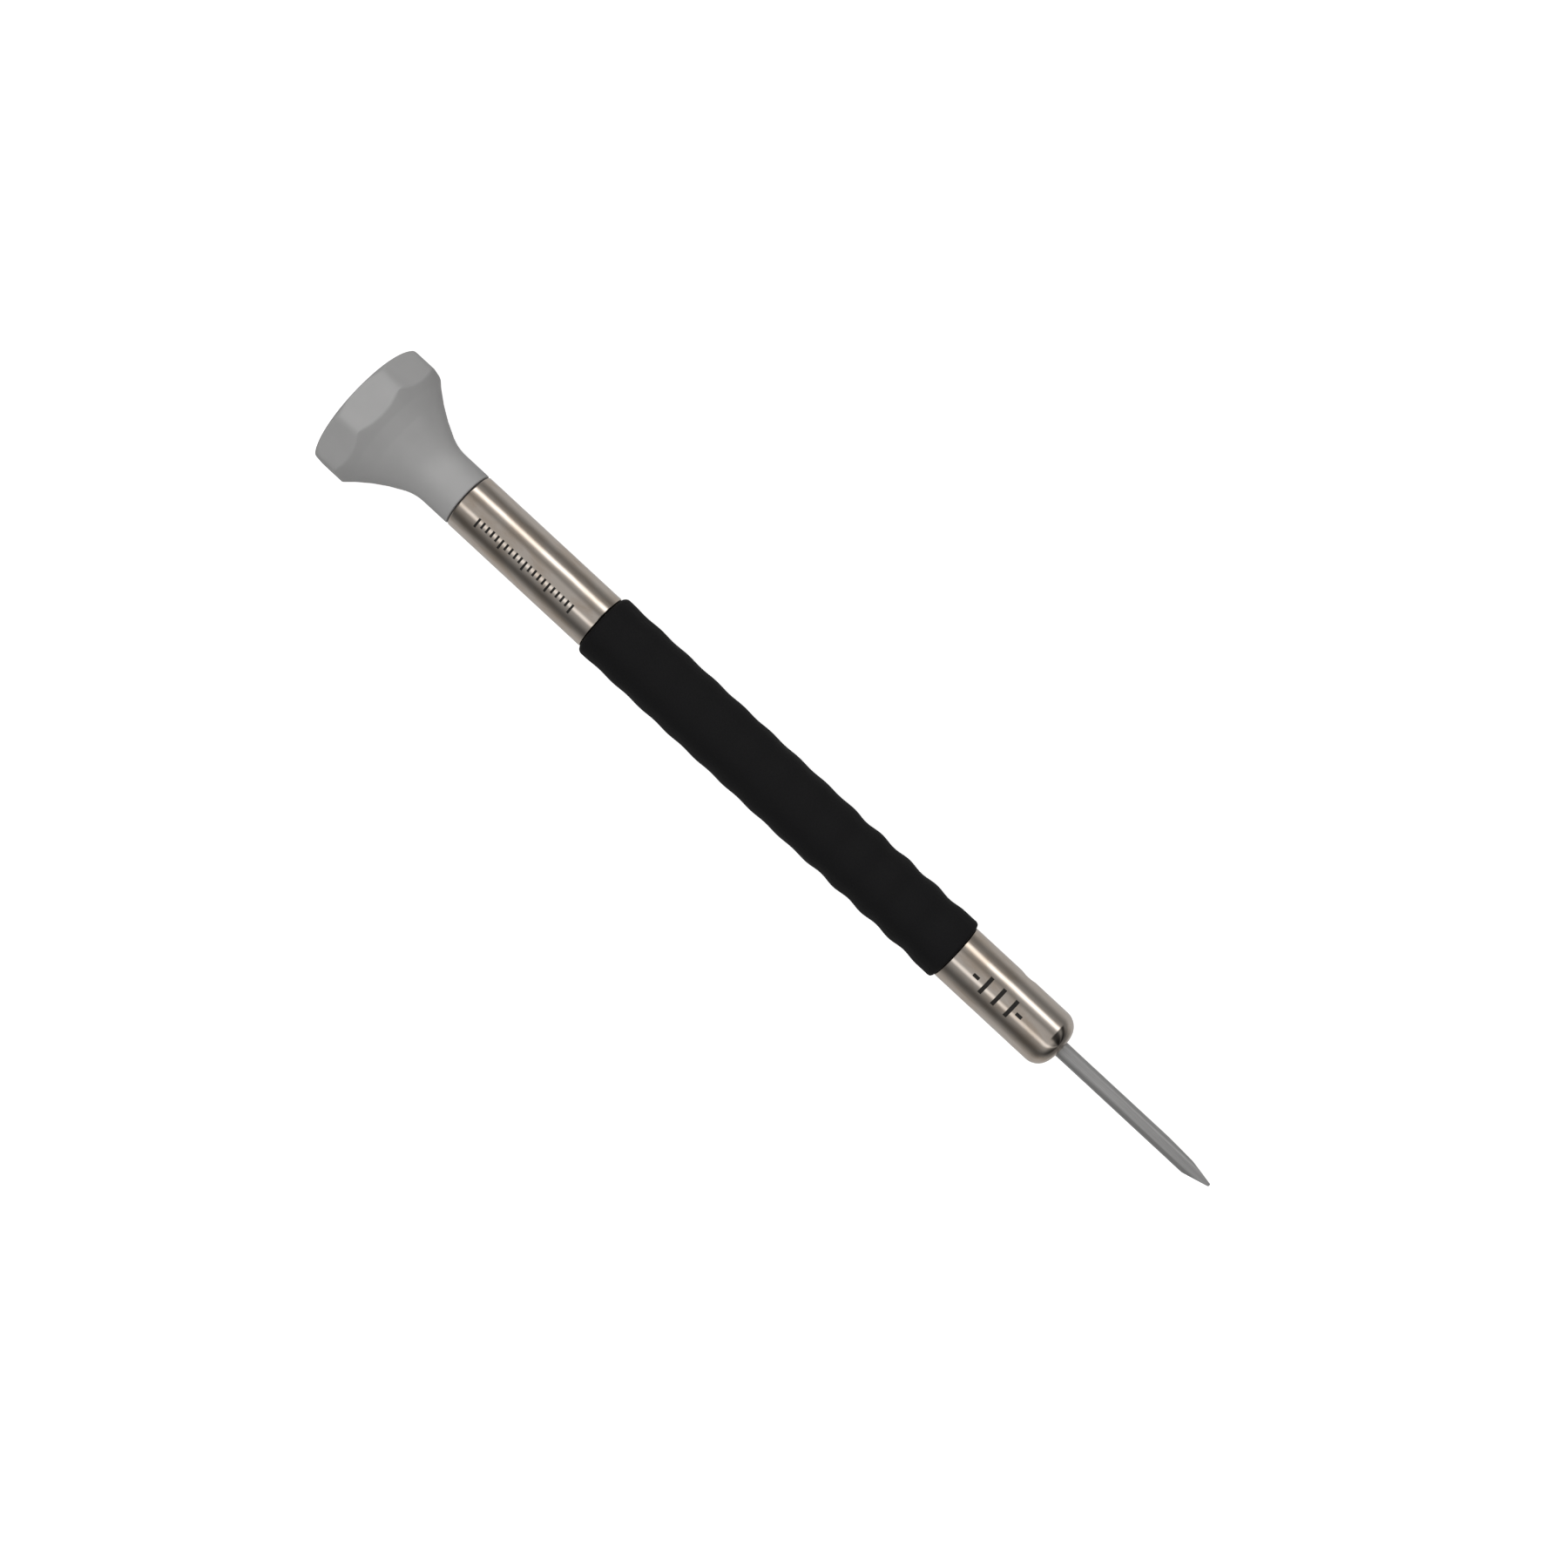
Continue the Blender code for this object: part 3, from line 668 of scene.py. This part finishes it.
class WATCHSCREWDRIVER_OT_head_shell(bpy.types.Operator):
    """Builds the grey head: a turned trumpet whose rim is cut to flats, with soft moulded edges"""

    bl_idname = "watchscrewdriver.head_shell"
    bl_label = "Head Shell"

    def execute(self, context):
        head = settings("screwdriver_head")
        handle = settings("screwdriver_handle")
        lowest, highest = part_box("head_shell")
        flat_radius = (highest.y - lowest.y) / 2 / MM
        rim_radius = reach("head_shell")
        end = span("head_shell")[1]
        neck = reach("rear_barrel")

        # The flare's wide arc leaves the rim and meets the neck's arc in one smooth line.
        slope = head.neck_blend_angle
        join_x = end - head.neck_straight - head.neck_blend_radius * math.sin(slope)
        join_r = neck + head.neck_blend_radius * (1 - math.cos(slope))
        along, out = head.rim_height - join_x, rim_radius - join_r
        wide = (along**2 + out**2) / (2 * (along * math.sin(slope) + out * math.cos(slope)))
        centre = (join_x + wide * math.sin(slope), join_r + wide * math.cos(slope))
        rim_angle = math.atan2(rim_radius - centre[1], head.rim_height - centre[0]) % FULL_TURN
        wide_turn = math.degrees(1.5 * math.pi - slope - rim_angle)

        cap_seat = reach("finger_cap") + FIXED_GAP
        ring = reach("bearing_outer_ring") + FIXED_GAP
        bush = reach("neck_bush") + FIXED_GAP
        cap_end = flange_end() + FIXED_GAP
        ring_end = span("bearing_outer_ring")[1] + FIXED_GAP
        bush_start = span("neck_bush")[0] - FIXED_GAP
        passage = bore("head_shell")
        outline = [
            (0, rim_radius - head.rim_rounding),
            Arc((head.rim_rounding, rim_radius - head.rim_rounding), 90),
            (head.rim_height, rim_radius),
            Arc(centre, -wide_turn),
            Arc((end - head.neck_straight, neck + head.neck_blend_radius), -math.degrees(slope)),
            (end, neck, handle.edge_rounding),
            (end, bush), (bush_start, bush), (bush_start, passage), (ring_end, passage),
            (ring_end, ring), (cap_end, ring), (cap_end, cap_seat), (0, cap_seat),
        ]
        bm = drawn(outline)
        divide(bm, SCALLOP_STEP, -WELD, head.rim_height + SCALLOP_REACH)
        spun(bm, HEAD_STEPS)

        pitch = FULL_TURN / head.sides
        for vertex in bm.verts:
            radius = math.hypot(vertex.co.y, vertex.co.z)
            if radius < cap_seat + WELD:
                continue
            angle = math.atan2(vertex.co.y, vertex.co.z) % pitch
            nearest, next_one = sorted((angle, pitch - angle))
            limit = soft_min(
                flat_radius / math.cos(nearest), flat_radius / math.cos(next_one),
                head.edge_softness,
            )
            kept = soft_min(radius, limit, head.edge_softness) / radius
            vertex.co.y *= kept
            vertex.co.z *= kept
        add_piece("trumpet_head", bm, ["abs"], "head_shell")
        return {"FINISHED"}


class WATCHSCREWDRIVER_OT_finger_cap(bpy.types.Operator):
    """Builds the dished cap that the fingertip presses"""

    bl_idname = "watchscrewdriver.finger_cap"
    bl_label = "Finger Cap"

    def execute(self, context):
        head = settings("screwdriver_head")
        start, end = span("finger_cap")
        radius = reach("finger_cap")
        back = flange_end()
        skirt = reach("bearing_outer_ring") - FIXED_GAP / 2
        inside = skirt - head.skirt_wall
        dish = radius - head.dish_margin
        curve = (dish**2 + head.dish_depth**2) / (2 * head.dish_depth)
        centre = start + head.dish_depth - curve
        outline = [
            (start + head.dish_depth, 0),
            Arc((centre, 0), -math.degrees(math.asin(dish / curve))),
            (start, radius, CAP_EDGE), (back, radius, SOFT_EDGE), (back, skirt),
            (end, skirt, FINE_EDGE), (end, inside, FINE_EDGE), (back, inside, FIRM_EDGE), (back, 0),
        ]
        bm = spun(drawn(outline))
        add_piece("dished_cap", bm, ["abs"], "finger_cap")
        return {"FINISHED"}


class WATCHSCREWDRIVER_OT_bearing(bpy.types.Operator):
    """Builds the head's miniature ball bearing: two grooved rings, a retainer and its balls"""

    bl_idname = "watchscrewdriver.bearing"
    bl_label = "Ball Bearing"

    def execute(self, context):
        bearing = settings("screwdriver_bearing")
        start, end = span("bearing_outer_ring")
        middle = (start + end) / 2
        first = span("bearing_ball_1")
        ball = (first[1] - first[0]) / 2
        balls = sorted(name for name in frame["nodes"] if name.startswith("bearing_ball_"))
        circle = reach("bearing_ball_1") - ball
        outside = reach("bearing_outer_ring")
        groove = ball + bearing.groove_clearance
        half = math.degrees(math.acos(bearing.shoulder / groove))
        flank = groove * math.sin(math.radians(half))
        for name, node, side, back in (
            ("outer_race", "bearing_outer_ring", 1, outside),
            ("inner_race", "bearing_inner_ring", -1, bore("bearing_inner_ring")),
        ):
            level = circle + side * bearing.shoulder
            outline = [
                (start, level, LIP_EDGE), (middle - flank, level),
                Arc((middle, circle), side * 2 * half), (end, level, LIP_EDGE),
                (end, back, bearing.edge_rounding), (start, back, bearing.edge_rounding),
            ]
            add_piece(name, spun(drawn(outline)), ["bearing"], node)

        near, far = span("bearing_cage")
        low, high = circle - bearing.retainer_wall / 2, circle + bearing.retainer_wall / 2
        retainer = spun(drawn([(near, low), (near, high), (far, high), (far, low)]), SMALL_STEPS)
        pockets = bmesh.new()
        for name in balls:
            lowest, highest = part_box(name)
            centre = TOOL_TO_ROW.inverted() @ ((lowest + highest) / 2)
            outwards = Vector((0, centre.y, centre.z)).normalized()
            bmesh.ops.create_cone(
                pockets, cap_ends=True, segments=POCKET_STEPS, radius1=ball + bearing.retainer_pocket,
                radius2=ball + bearing.retainer_pocket, depth=3 * bearing.retainer_wall,
                matrix=Matrix.Translation(centre) @ outwards.to_track_quat("Z", "Y").to_matrix().to_4x4(),
            )
            bm = bmesh.new()
            bmesh.ops.create_icosphere(
                bm, subdivisions=BALL_SUBDIVISIONS, radius=ball, matrix=Matrix.Translation(centre)
            )
            number = name.rsplit("_", 1)[1]
            add_piece(f"ball_{number}", bm, ["bearing"], name)
        retainer = carved(retainer, pockets)
        add_piece("ball_retainer", retainer, ["brass"], "bearing_cage")
        return {"FINISHED"}


class WATCHSCREWDRIVER_OT_swivel_pin(bpy.types.Operator):
    """Builds the pin that the head turns on, with its snap ring, bush and thrust washer"""

    bl_idname = "watchscrewdriver.swivel_pin"
    bl_label = "Swivel Pin"

    def execute(self, context):
        bearing = settings("screwdriver_bearing")
        start, end = span("spindle")
        stem = reach("spindle")
        seat_start, seat_end = span("bearing_inner_ring")
        clip_start = span("retaining_clip")[0]
        pin = bore("bearing_inner_ring") - BORE_GAP
        groove = pin - bearing.groove_depth
        outline = [
            (start, 0), (start, pin, PIN_EDGE), (clip_start - FIXED_GAP, pin),
            (clip_start - FIXED_GAP, groove), (seat_start, groove), (seat_start, pin),
            (seat_end + FIXED_GAP, pin), (seat_end + FIXED_GAP, stem, FINE_EDGE),
            (end, stem, END_EDGE), (end, 0),
        ]
        add_piece("swivel_pin", spun(drawn(outline)), ["bearing"], "spindle")
        inside = bore("neck_bush")
        near, far = span("neck_bush")
        outside = reach("neck_bush")
        bush = [
            (near, inside, FIRM_EDGE), (near, outside, BORE_EDGE),
            (far, outside, BORE_EDGE), (far, inside, FIRM_EDGE),
        ]
        add_piece("bush", spun(drawn(bush)), ["brass"], "neck_bush")
        near, far = span("thrust_washer")
        outside = reach("thrust_washer")
        washer = [
            (at, radius, STAMPED_EDGE)
            for at, radius in ((near, inside), (near, outside), (far, outside), (far, inside))
        ]
        add_piece("washer", spun(drawn(washer)), ["nylon"], "thrust_washer")
        clip = frame["nodes"]["retaining_clip"]
        clip.data.materials.clear()
        clip.data.materials.append(finishes()["bearing"])
        return {"FINISHED"}


class WATCHSCREWDRIVER_OT_rear_barrel(bpy.types.Operator):
    """Builds the plated rear barrel, with a plain scale of engraved lines"""

    bl_idname = "watchscrewdriver.rear_barrel"
    bl_label = "Rear Barrel"

    def execute(self, context):
        handle = settings("screwdriver_handle")
        start, end = span("rear_barrel")
        body = reach("rear_barrel")
        recess = reach("thrust_washer") + FIXED_GAP
        recess_end = span("thrust_washer")[1] + FIXED_GAP
        socket = reach("spindle") + FIXED_GAP
        tail = tail_radius() + FIXED_GAP
        tail_start = span("blade_holder")[0] - FIXED_GAP
        marks = []
        for index in range(handle.scale_lines):
            at = start + handle.scale_start + index * handle.scale_pitch
            last = math.degrees(handle.scale_to)
            if index % LONG_LINE_EVERY:
                last -= LONG_LINE_DEG
            marks.append((at, at + handle.scale_width, math.degrees(handle.scale_from), last))
        edges = [(at, body) for mark in marks for at in mark[:2]]
        outline = [
            (start, body, handle.edge_rounding), *edges, (end, body, handle.edge_rounding),
            (end, tail), (tail_start, tail), (tail_start, socket), (recess_end, socket),
            (recess_end, recess), (start, recess, FINE_EDGE),
        ]
        bm = spun(drawn(outline))
        engrave(bm, marks, body, handle.mark_depth)
        add_piece("plated_barrel", bm, ["nickel", "enamel"], "rear_barrel")
        return {"FINISHED"}


class WATCHSCREWDRIVER_OT_grip_sleeve(bpy.types.Operator):
    """Builds the rubber sleeve, with finger grooves at the front and faint ones behind"""

    bl_idname = "watchscrewdriver.grip_sleeve"
    bl_label = "Grip Sleeve"

    def execute(self, context):
        handle = settings("screwdriver_handle")
        start, end = span("grip_sleeve")
        radius = reach("grip_sleeve")
        inside = bore("grip_sleeve")
        rear = handle.grip_rear_rounding
        front = end + FIXED_GAP - handle.rib_land
        ribs = int((front - start - rear) / handle.rib_pitch)
        waves = []
        for index in range(ribs * RIB_STEPS + 1):
            from_front = ribs - index / RIB_STEPS
            depth = handle.rib_depth if from_front <= handle.deep_ribs else handle.faint_rib_depth
            sunk = depth * (1 - math.cos(FULL_TURN * index / RIB_STEPS)) / 2
            waves.append((front - from_front * handle.rib_pitch, radius - sunk))
        outline = [
            (start, radius - rear), Arc((start + rear, radius - rear), 90), *waves,
            (end, radius, handle.grip_rounding),
            (end, inside, FINE_EDGE), (start, inside, FINE_EDGE),
        ]
        bm = spun(drawn(outline))
        add_piece("rubber_grip", bm, ["rubber"], "grip_sleeve")
        return {"FINISHED"}


class WATCHSCREWDRIVER_OT_blade_holder(bpy.types.Operator):
    """Builds the plated nose, with its spigot and tail, a screw hole and a plain engraved tally"""

    bl_idname = "watchscrewdriver.blade_holder"
    bl_label = "Blade Holder"

    def execute(self, context):
        handle = settings("screwdriver_handle")
        start, end = span("blade_holder")
        grip_start, grip_end = span("grip_sleeve")
        shoulder = grip_end + FIXED_GAP
        body = reach("blade_holder")
        tail = tail_radius()
        spigot = bore("grip_sleeve") - FIXED_GAP
        socket = reach("blade") + FIXED_GAP
        bore_end = span("blade")[0] - BLADE_STOP_GAP
        spigot_start = grip_start - FIXED_GAP
        first = shoulder + handle.tally_start
        # A short dash, three bars and another short dash, as (start, length, from, to).
        tally = [
            (0.0, 0.6, -15, -8), (1.15, 0.35, -31, 7), (2.5, 0.35, -31, 7), (3.85, 0.35, -31, 7),
            (4.55, 0.6, -15, -8),
        ]
        marks = [(first + at, first + at + long, -high, -low) for at, long, low, high in tally]
        edges = [(at, body) for mark in marks for at in mark[:2]]
        rounding = handle.nose_rounding
        outline = [
            (start, 0), (start, tail, END_EDGE), (spigot_start, tail),
            (spigot_start, spigot, FIRM_EDGE), (shoulder, spigot),
            (shoulder, body, handle.edge_rounding), *edges,
            (end - rounding, body), Arc((end - rounding, body - rounding), 90),
            (end, socket, BORE_EDGE), (bore_end, socket), (bore_end, 0),
        ]
        bm = spun(drawn(outline))
        engrave(bm, marks, body, handle.mark_depth)
        at, _, high = screw_place()
        # The screw's hole runs from inside the bore to outside the nose.
        near, far = socket / 2, 1.5 * body
        hole = spun(drawn([(near, 0), (near, high), (far, high), (far, 0)]), SMALL_STEPS)
        bmesh.ops.transform(hole, matrix=across_at(at), verts=hole.verts)
        bm = carved(bm, hole)
        add_piece("plated_nose", bm, ["nickel", "enamel"], "blade_holder")
        return {"FINISHED"}


def screw_place():
    """The clamp screw's station, and the radius of the screw and of its hole."""
    start, end = span("clamp_screw")
    return (start + end) / 2, (end - start) / 2, (end - start) / 2 + SCREW_GAP


def across_at(station):
    """Turns a shape drawn along the tool so that it runs across it, towards +Y, at a station."""
    return Matrix.Translation((station, 0, 0)) @ Matrix.Rotation(math.pi / 2, 4, "Z")


class WATCHSCREWDRIVER_OT_clamp_screw(bpy.types.Operator):
    """Builds the slotted grub screw that holds the blade"""

    bl_idname = "watchscrewdriver.clamp_screw"
    bl_label = "Clamp Screw"

    def execute(self, context):
        blade = settings("screwdriver_blade")
        station, radius, _ = screw_place()
        lowest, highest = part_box("clamp_screw")
        foot, top = lowest.y / MM, highest.y / MM
        root = radius - blade.thread_depth
        turns = int((top - foot - 2 * blade.thread_pitch) / blade.thread_pitch)
        first = top - SCREW_TOP - turns * blade.thread_pitch
        thread = []
        for index in range(turns):
            at = first + index * blade.thread_pitch
            thread += [(at, radius), (at + 0.5 * blade.thread_pitch, root)]
        outline = [
            (foot, 0), (foot, root - THREAD_RUNOUT), (first - THREAD_RUNOUT, root), *thread,
            (top - SCREW_TOP, radius), (top, radius, SOFT_EDGE), (top, 0),
        ]
        bm = spun(drawn(outline), SMALL_STEPS)
        slot = bmesh.new()
        bmesh.ops.create_cube(slot, size=1.0)
        bmesh.ops.scale(
            slot, vec=(2 * blade.slot_depth, blade.slot_width, 4 * radius), verts=slot.verts
        )
        turn = Matrix.Rotation(math.pi / 2 - blade.slot_turn, 4, "X")
        bmesh.ops.transform(slot, matrix=Matrix.Translation((top, 0, 0)) @ turn, verts=slot.verts)
        bm = carved(bm, slot)
        bmesh.ops.transform(bm, matrix=across_at(station), verts=bm.verts)
        add_piece("grub_screw", bm, ["screw"], "clamp_screw")
        return {"FINISHED"}


class WATCHSCREWDRIVER_OT_blade(bpy.types.Operator):
    """Builds the blade: a round rod ground to a wedge, with a long light flat on one side"""

    bl_idname = "watchscrewdriver.blade"
    bl_label = "Blade"

    def execute(self, context):
        blade = settings("screwdriver_blade")
        start, tip = span("blade")
        radius = reach("blade")
        outline = [(start, 0), (start, radius, FIRM_EDGE), (tip, radius), (tip, 0)]
        bm = drawn(outline)
        divide(bm, BLADE_STEP, tip - 1.5 * blade.ground_length, tip)
        spun(bm, SMALL_STEPS)
        half = blade.tip_thickness / 2
        wedge = tip - blade.wedge_length
        for here, there in (
            ((wedge, radius - blade.ground_depth), (tip, half)),
            ((tip - blade.ground_length, radius), (wedge, radius - blade.ground_depth)),
            ((wedge, -radius), (tip, -half)),
        ):
            run, rise = there[0] - here[0], there[1] - here[1]
            side = 1 if here[1] > 0 else -1
            ground(bm, (*here, 0), Vector((-rise * side, run * side, 0)))
        add_piece("ground_blade", bm, ["blade"], "blade")
        return {"FINISHED"}


# ---------------------------------------------------------------- studio

# The table and the ceiling light, in metres.
TABLE_RADIUS = 0.55
TABLE_BEND = 0.2
TABLE_THICKNESS = 0.01
WALL_HEIGHT = 0.45
CEILING_SIZE = 0.5
CEILING_PLACE = (0.12, -0.1, 0.6)

# Strip lights and black cards hung along the tool, as (degrees from straight up towards +Y,
# half-width in degrees, brightness to add or take). They draw the bright and dark lines.
CARDS = (
    (45, 15, 1.6),
    (-34, 12, 0.72),
    (18, 16, -0.2),
    (-80, 52, -0.39),
    (80, 38, -0.29),
)

# The black card past the blade, on the +Y side: (its middle, where it is fully dark, where it
# ends, all in degrees as above, and the share of the light that it takes).
BLACK_CARD = (35, 30, 45, 0.88)

# Where that card begins and is full, and where the tent starts and stops getting darker towards
# its ends, all as the X part of a direction.
BLACK_CARD_REACH = (0.25, 0.34)
TENT_ENDS = (0.55, 0.98)
TENT_END_LEVEL = 0.3
TENT_WHITE = (1.0, 0.99, 0.978, 1.0)


def strip(tree, angle, middle, inner, outer, strength):
    """A band of directions along the tool: its strength within inner degrees of the middle, and
    nothing past outer degrees."""
    off = add_node(
        tree, "ShaderNodeMath", {0: angle}, {1: math.radians(middle)}, operation="SUBTRACT"
    )
    far = add_node(tree, "ShaderNodeMath", {0: off.outputs["Value"]}, operation="ABSOLUTE")
    band = add_node(
        tree, "ShaderNodeMapRange", {"Value": far.outputs["Value"]},
        {
            "From Min": math.radians(inner), "From Max": math.radians(outer),
            "To Min": strength, "To Max": 0.0,
        },
        interpolation_type="SMOOTHSTEP",
    )
    return band.outputs["Result"]


def light_tent(level):
    """Fills the world: a plain grey tent, bright and dark strips along the tool, darker ends."""
    world = bpy.data.worlds.new("light_tent")
    world.use_nodes = True
    tree = world.node_tree
    tree.nodes.clear()
    place = add_node(tree, "ShaderNodeTexCoord")
    way = add_node(tree, "ShaderNodeSeparateXYZ", {"Vector": place.outputs["Generated"]})
    turn = add_node(
        tree, "ShaderNodeMath", {0: way.outputs["Y"], 1: way.outputs["Z"]}, operation="ARCTAN2"
    )
    angle = turn.outputs["Value"]
    links, values = {}, {1: level}
    for middle, half, strength in CARDS:
        card = strip(tree, angle, middle, 0, half, strength)
        total = add_node(tree, "ShaderNodeMath", {0: card, **links}, values, operation="ADD")
        links, values = {1: total.outputs["Value"]}, {}
    # The black card cuts the strip light off at the nose's end.
    past = add_node(
        tree, "ShaderNodeMapRange", {"Value": way.outputs["X"]},
        {
            "From Min": BLACK_CARD_REACH[0], "From Max": BLACK_CARD_REACH[1],
            "To Min": 0.0, "To Max": 1.0,
        },
        interpolation_type="SMOOTHSTEP",
    )
    black = add_node(
        tree, "ShaderNodeMath", {0: strip(tree, angle, *BLACK_CARD), 1: past.outputs["Result"]},
        operation="MULTIPLY",
    )
    left = add_node(
        tree, "ShaderNodeMath", {1: black.outputs["Value"]}, {0: 1.0}, operation="SUBTRACT"
    )
    total = add_node(
        tree, "ShaderNodeMath", {0: total.outputs["Value"], 1: left.outputs["Value"]},
        operation="MULTIPLY",
    )
    end_on = add_node(tree, "ShaderNodeMath", {0: way.outputs["X"]}, operation="ABSOLUTE")
    ends = add_node(
        tree, "ShaderNodeMapRange", {"Value": end_on.outputs["Value"]},
        {
            "From Min": TENT_ENDS[0], "From Max": TENT_ENDS[1],
            "To Min": 1.0, "To Max": TENT_END_LEVEL,
        },
        interpolation_type="SMOOTHSTEP",
    )
    dimmed = add_node(
        tree, "ShaderNodeMath", {0: total.outputs["Value"], 1: ends.outputs["Result"]},
        operation="MULTIPLY",
    )
    glow = add_node(
        tree, "ShaderNodeBackground", {"Strength": dimmed.outputs["Value"]}, {"Color": TENT_WHITE}
    )
    add_node(tree, "ShaderNodeOutputWorld", {"Surface": glow.outputs["Background"]})
    bpy.context.scene.world = world


def opal_table(glow):
    """Opal acrylic, lit from below: plain white with faint clouds 60 mm across."""
    made, tree = new_material("opal_acrylic")
    place = add_node(tree, "ShaderNodeTexCoord")
    cloud = add_node(
        tree, "ShaderNodeTexNoise", {"Vector": place.outputs["Object"]},
        {"Scale": 1 / (60 * MM), "Detail": 1.0},
    )
    tint = add_node(
        tree, "ShaderNodeMix", {"Factor": cloud.outputs["Fac"]},
        {"A": rgba(srgb("#f2f2f1")), "B": rgba(srgb("#f8f8f8"))}, data_type="RGBA",
    )
    shader = add_node(
        tree, "ShaderNodeBsdfPrincipled",
        {"Base Color": tint.outputs["Result"]},
        {"Roughness": 0.8, "Emission Color": (1, 1, 1, 1), "Emission Strength": glow},
    )
    add_node(tree, "ShaderNodeOutputMaterial", {"Surface": shader.outputs["BSDF"]})
    return made


class WATCHSCREWDRIVER_OT_studio(bpy.types.Operator):
    """Builds the white table, the soft light and the camera"""

    bl_idname = "watchscrewdriver.studio"
    bl_label = "Studio"

    def execute(self, context):
        studio = settings("screwdriver_studio")
        scene = bpy.context.scene
        wall = TABLE_RADIUS + TABLE_BEND
        outside = wall + TABLE_THICKNESS
        bm = spun(
            drawn([
                (0, 0), (0, TABLE_RADIUS), Arc((TABLE_BEND, TABLE_RADIUS), 90),
                (WALL_HEIGHT, wall), (WALL_HEIGHT, outside), (-TABLE_THICKNESS, outside),
                (-TABLE_THICKNESS, 0),
            ])
        )
        bmesh.ops.transform(bm, matrix=Matrix.Rotation(-math.pi / 2, 4, "Y"), verts=bm.verts)
        mesh = bpy.data.meshes.new("opal_table")
        bm.to_mesh(mesh)
        bm.free()
        mesh.shade_smooth()
        mesh.set_sharp_from_angle(angle=SHARP_ANGLE)
        mesh.materials.append(opal_table(studio.table_glow))
        table = bpy.data.objects.new("opal_table", mesh)
        scene.collection.objects.link(table)
        # The tent below the table lights the tool from underneath, as the glowing table would.
        table.visible_glossy = False
        table.visible_diffuse = False
        table.visible_shadow = False

        light_tent(studio.tent_level)
        ceiling = bpy.data.lights.new("ceiling", "AREA")
        ceiling.shape = "DISK"
        ceiling.size = CEILING_SIZE
        ceiling.energy = studio.ceiling_power
        lamp = bpy.data.objects.new("ceiling", ceiling)
        scene.collection.objects.link(lamp)
        lamp.location = CEILING_PLACE
        lamp.visible_glossy = False

        x, y = studio.aim_along * MM, studio.aim_across * MM
        z = ORIGIN.z - (x - ORIGIN.x) * math.tan(TILT)
        towards = Vector((math.tan(studio.lean_along), -math.tan(studio.lean_across), 1)).normalized()
        level = Vector((math.cos(studio.camera_turn), math.sin(studio.camera_turn), 0))
        right = (level - level.dot(towards) * towards).normalized()
        turn = Matrix((right, towards.cross(right), towards)).transposed().to_4x4()
        camera = bpy.data.cameras.new("camera")
        camera.sensor_width = 36
        camera.lens = studio.camera_lens
        camera.clip_start, camera.clip_end = 0.01, 5
        eye = bpy.data.objects.new("camera", camera)
        scene.collection.objects.link(eye)
        eye.matrix_world = (
            Matrix.Translation(Vector((x, y, z)) + studio.camera_distance * MM * towards) @ turn
        )
        scene.camera = eye
        scene.view_settings.view_transform = "Standard"
        return {"FINISHED"}


OPERATORS = (
    WATCHSCREWDRIVER_OT_head_shell,
    WATCHSCREWDRIVER_OT_finger_cap,
    WATCHSCREWDRIVER_OT_bearing,
    WATCHSCREWDRIVER_OT_swivel_pin,
    WATCHSCREWDRIVER_OT_rear_barrel,
    WATCHSCREWDRIVER_OT_grip_sleeve,
    WATCHSCREWDRIVER_OT_blade_holder,
    WATCHSCREWDRIVER_OT_clamp_screw,
    WATCHSCREWDRIVER_OT_blade,
    WATCHSCREWDRIVER_OT_studio,
)

SETTINGS = {
    "screwdriver_head": HeadSettings,
    "screwdriver_handle": HandleSettings,
    "screwdriver_blade": BladeSettings,
    "screwdriver_bearing": BearingSettings,
    "screwdriver_finishes": FinishSettings,
    "screwdriver_studio": StudioSettings,
}


class WATCHSCREWDRIVER_PT_panel(bpy.types.Panel):
    """Lists the steps that build the screwdriver, and the values that they use"""

    bl_idname = "WATCHSCREWDRIVER_PT_panel"
    bl_label = "Watchmaker's Screwdriver"
    bl_space_type = "VIEW_3D"
    bl_region_type = "UI"
    bl_category = "Screwdriver"

    def draw(self, context):
        for step in OPERATORS:
            self.layout.operator(step.bl_idname)
        for name in SETTINGS:
            group = getattr(context.scene, name)
            box = self.layout.box()
            box.label(text=name.replace("screwdriver_", "").capitalize())
            for prop in group.bl_rna.properties:
                if prop.identifier not in ("rna_type", "name"):
                    box.prop(group, prop.identifier)


def register():
    for group in SETTINGS.values():
        bpy.utils.register_class(group)
    for step in OPERATORS:
        bpy.utils.register_class(step)
    bpy.utils.register_class(WATCHSCREWDRIVER_PT_panel)
    for name, group in SETTINGS.items():
        setattr(bpy.types.Scene, name, bpy.props.PointerProperty(type=group))


def unregister():
    for name in SETTINGS:
        delattr(bpy.types.Scene, name)
    bpy.utils.unregister_class(WATCHSCREWDRIVER_PT_panel)
    for step in reversed(OPERATORS):
        bpy.utils.unregister_class(step)
    for group in reversed(list(SETTINGS.values())):
        bpy.utils.unregister_class(group)


def main():
    register()
    bpy.ops.watchscrewdriver.head_shell()
    bpy.ops.watchscrewdriver.finger_cap()
    bpy.ops.watchscrewdriver.bearing()
    bpy.ops.watchscrewdriver.swivel_pin()
    bpy.ops.watchscrewdriver.rear_barrel()
    bpy.ops.watchscrewdriver.grip_sleeve()
    bpy.ops.watchscrewdriver.blade_holder()
    bpy.ops.watchscrewdriver.clamp_screw()
    bpy.ops.watchscrewdriver.blade()
    bpy.ops.watchscrewdriver.studio()


if __name__ == "__main__":
    main()
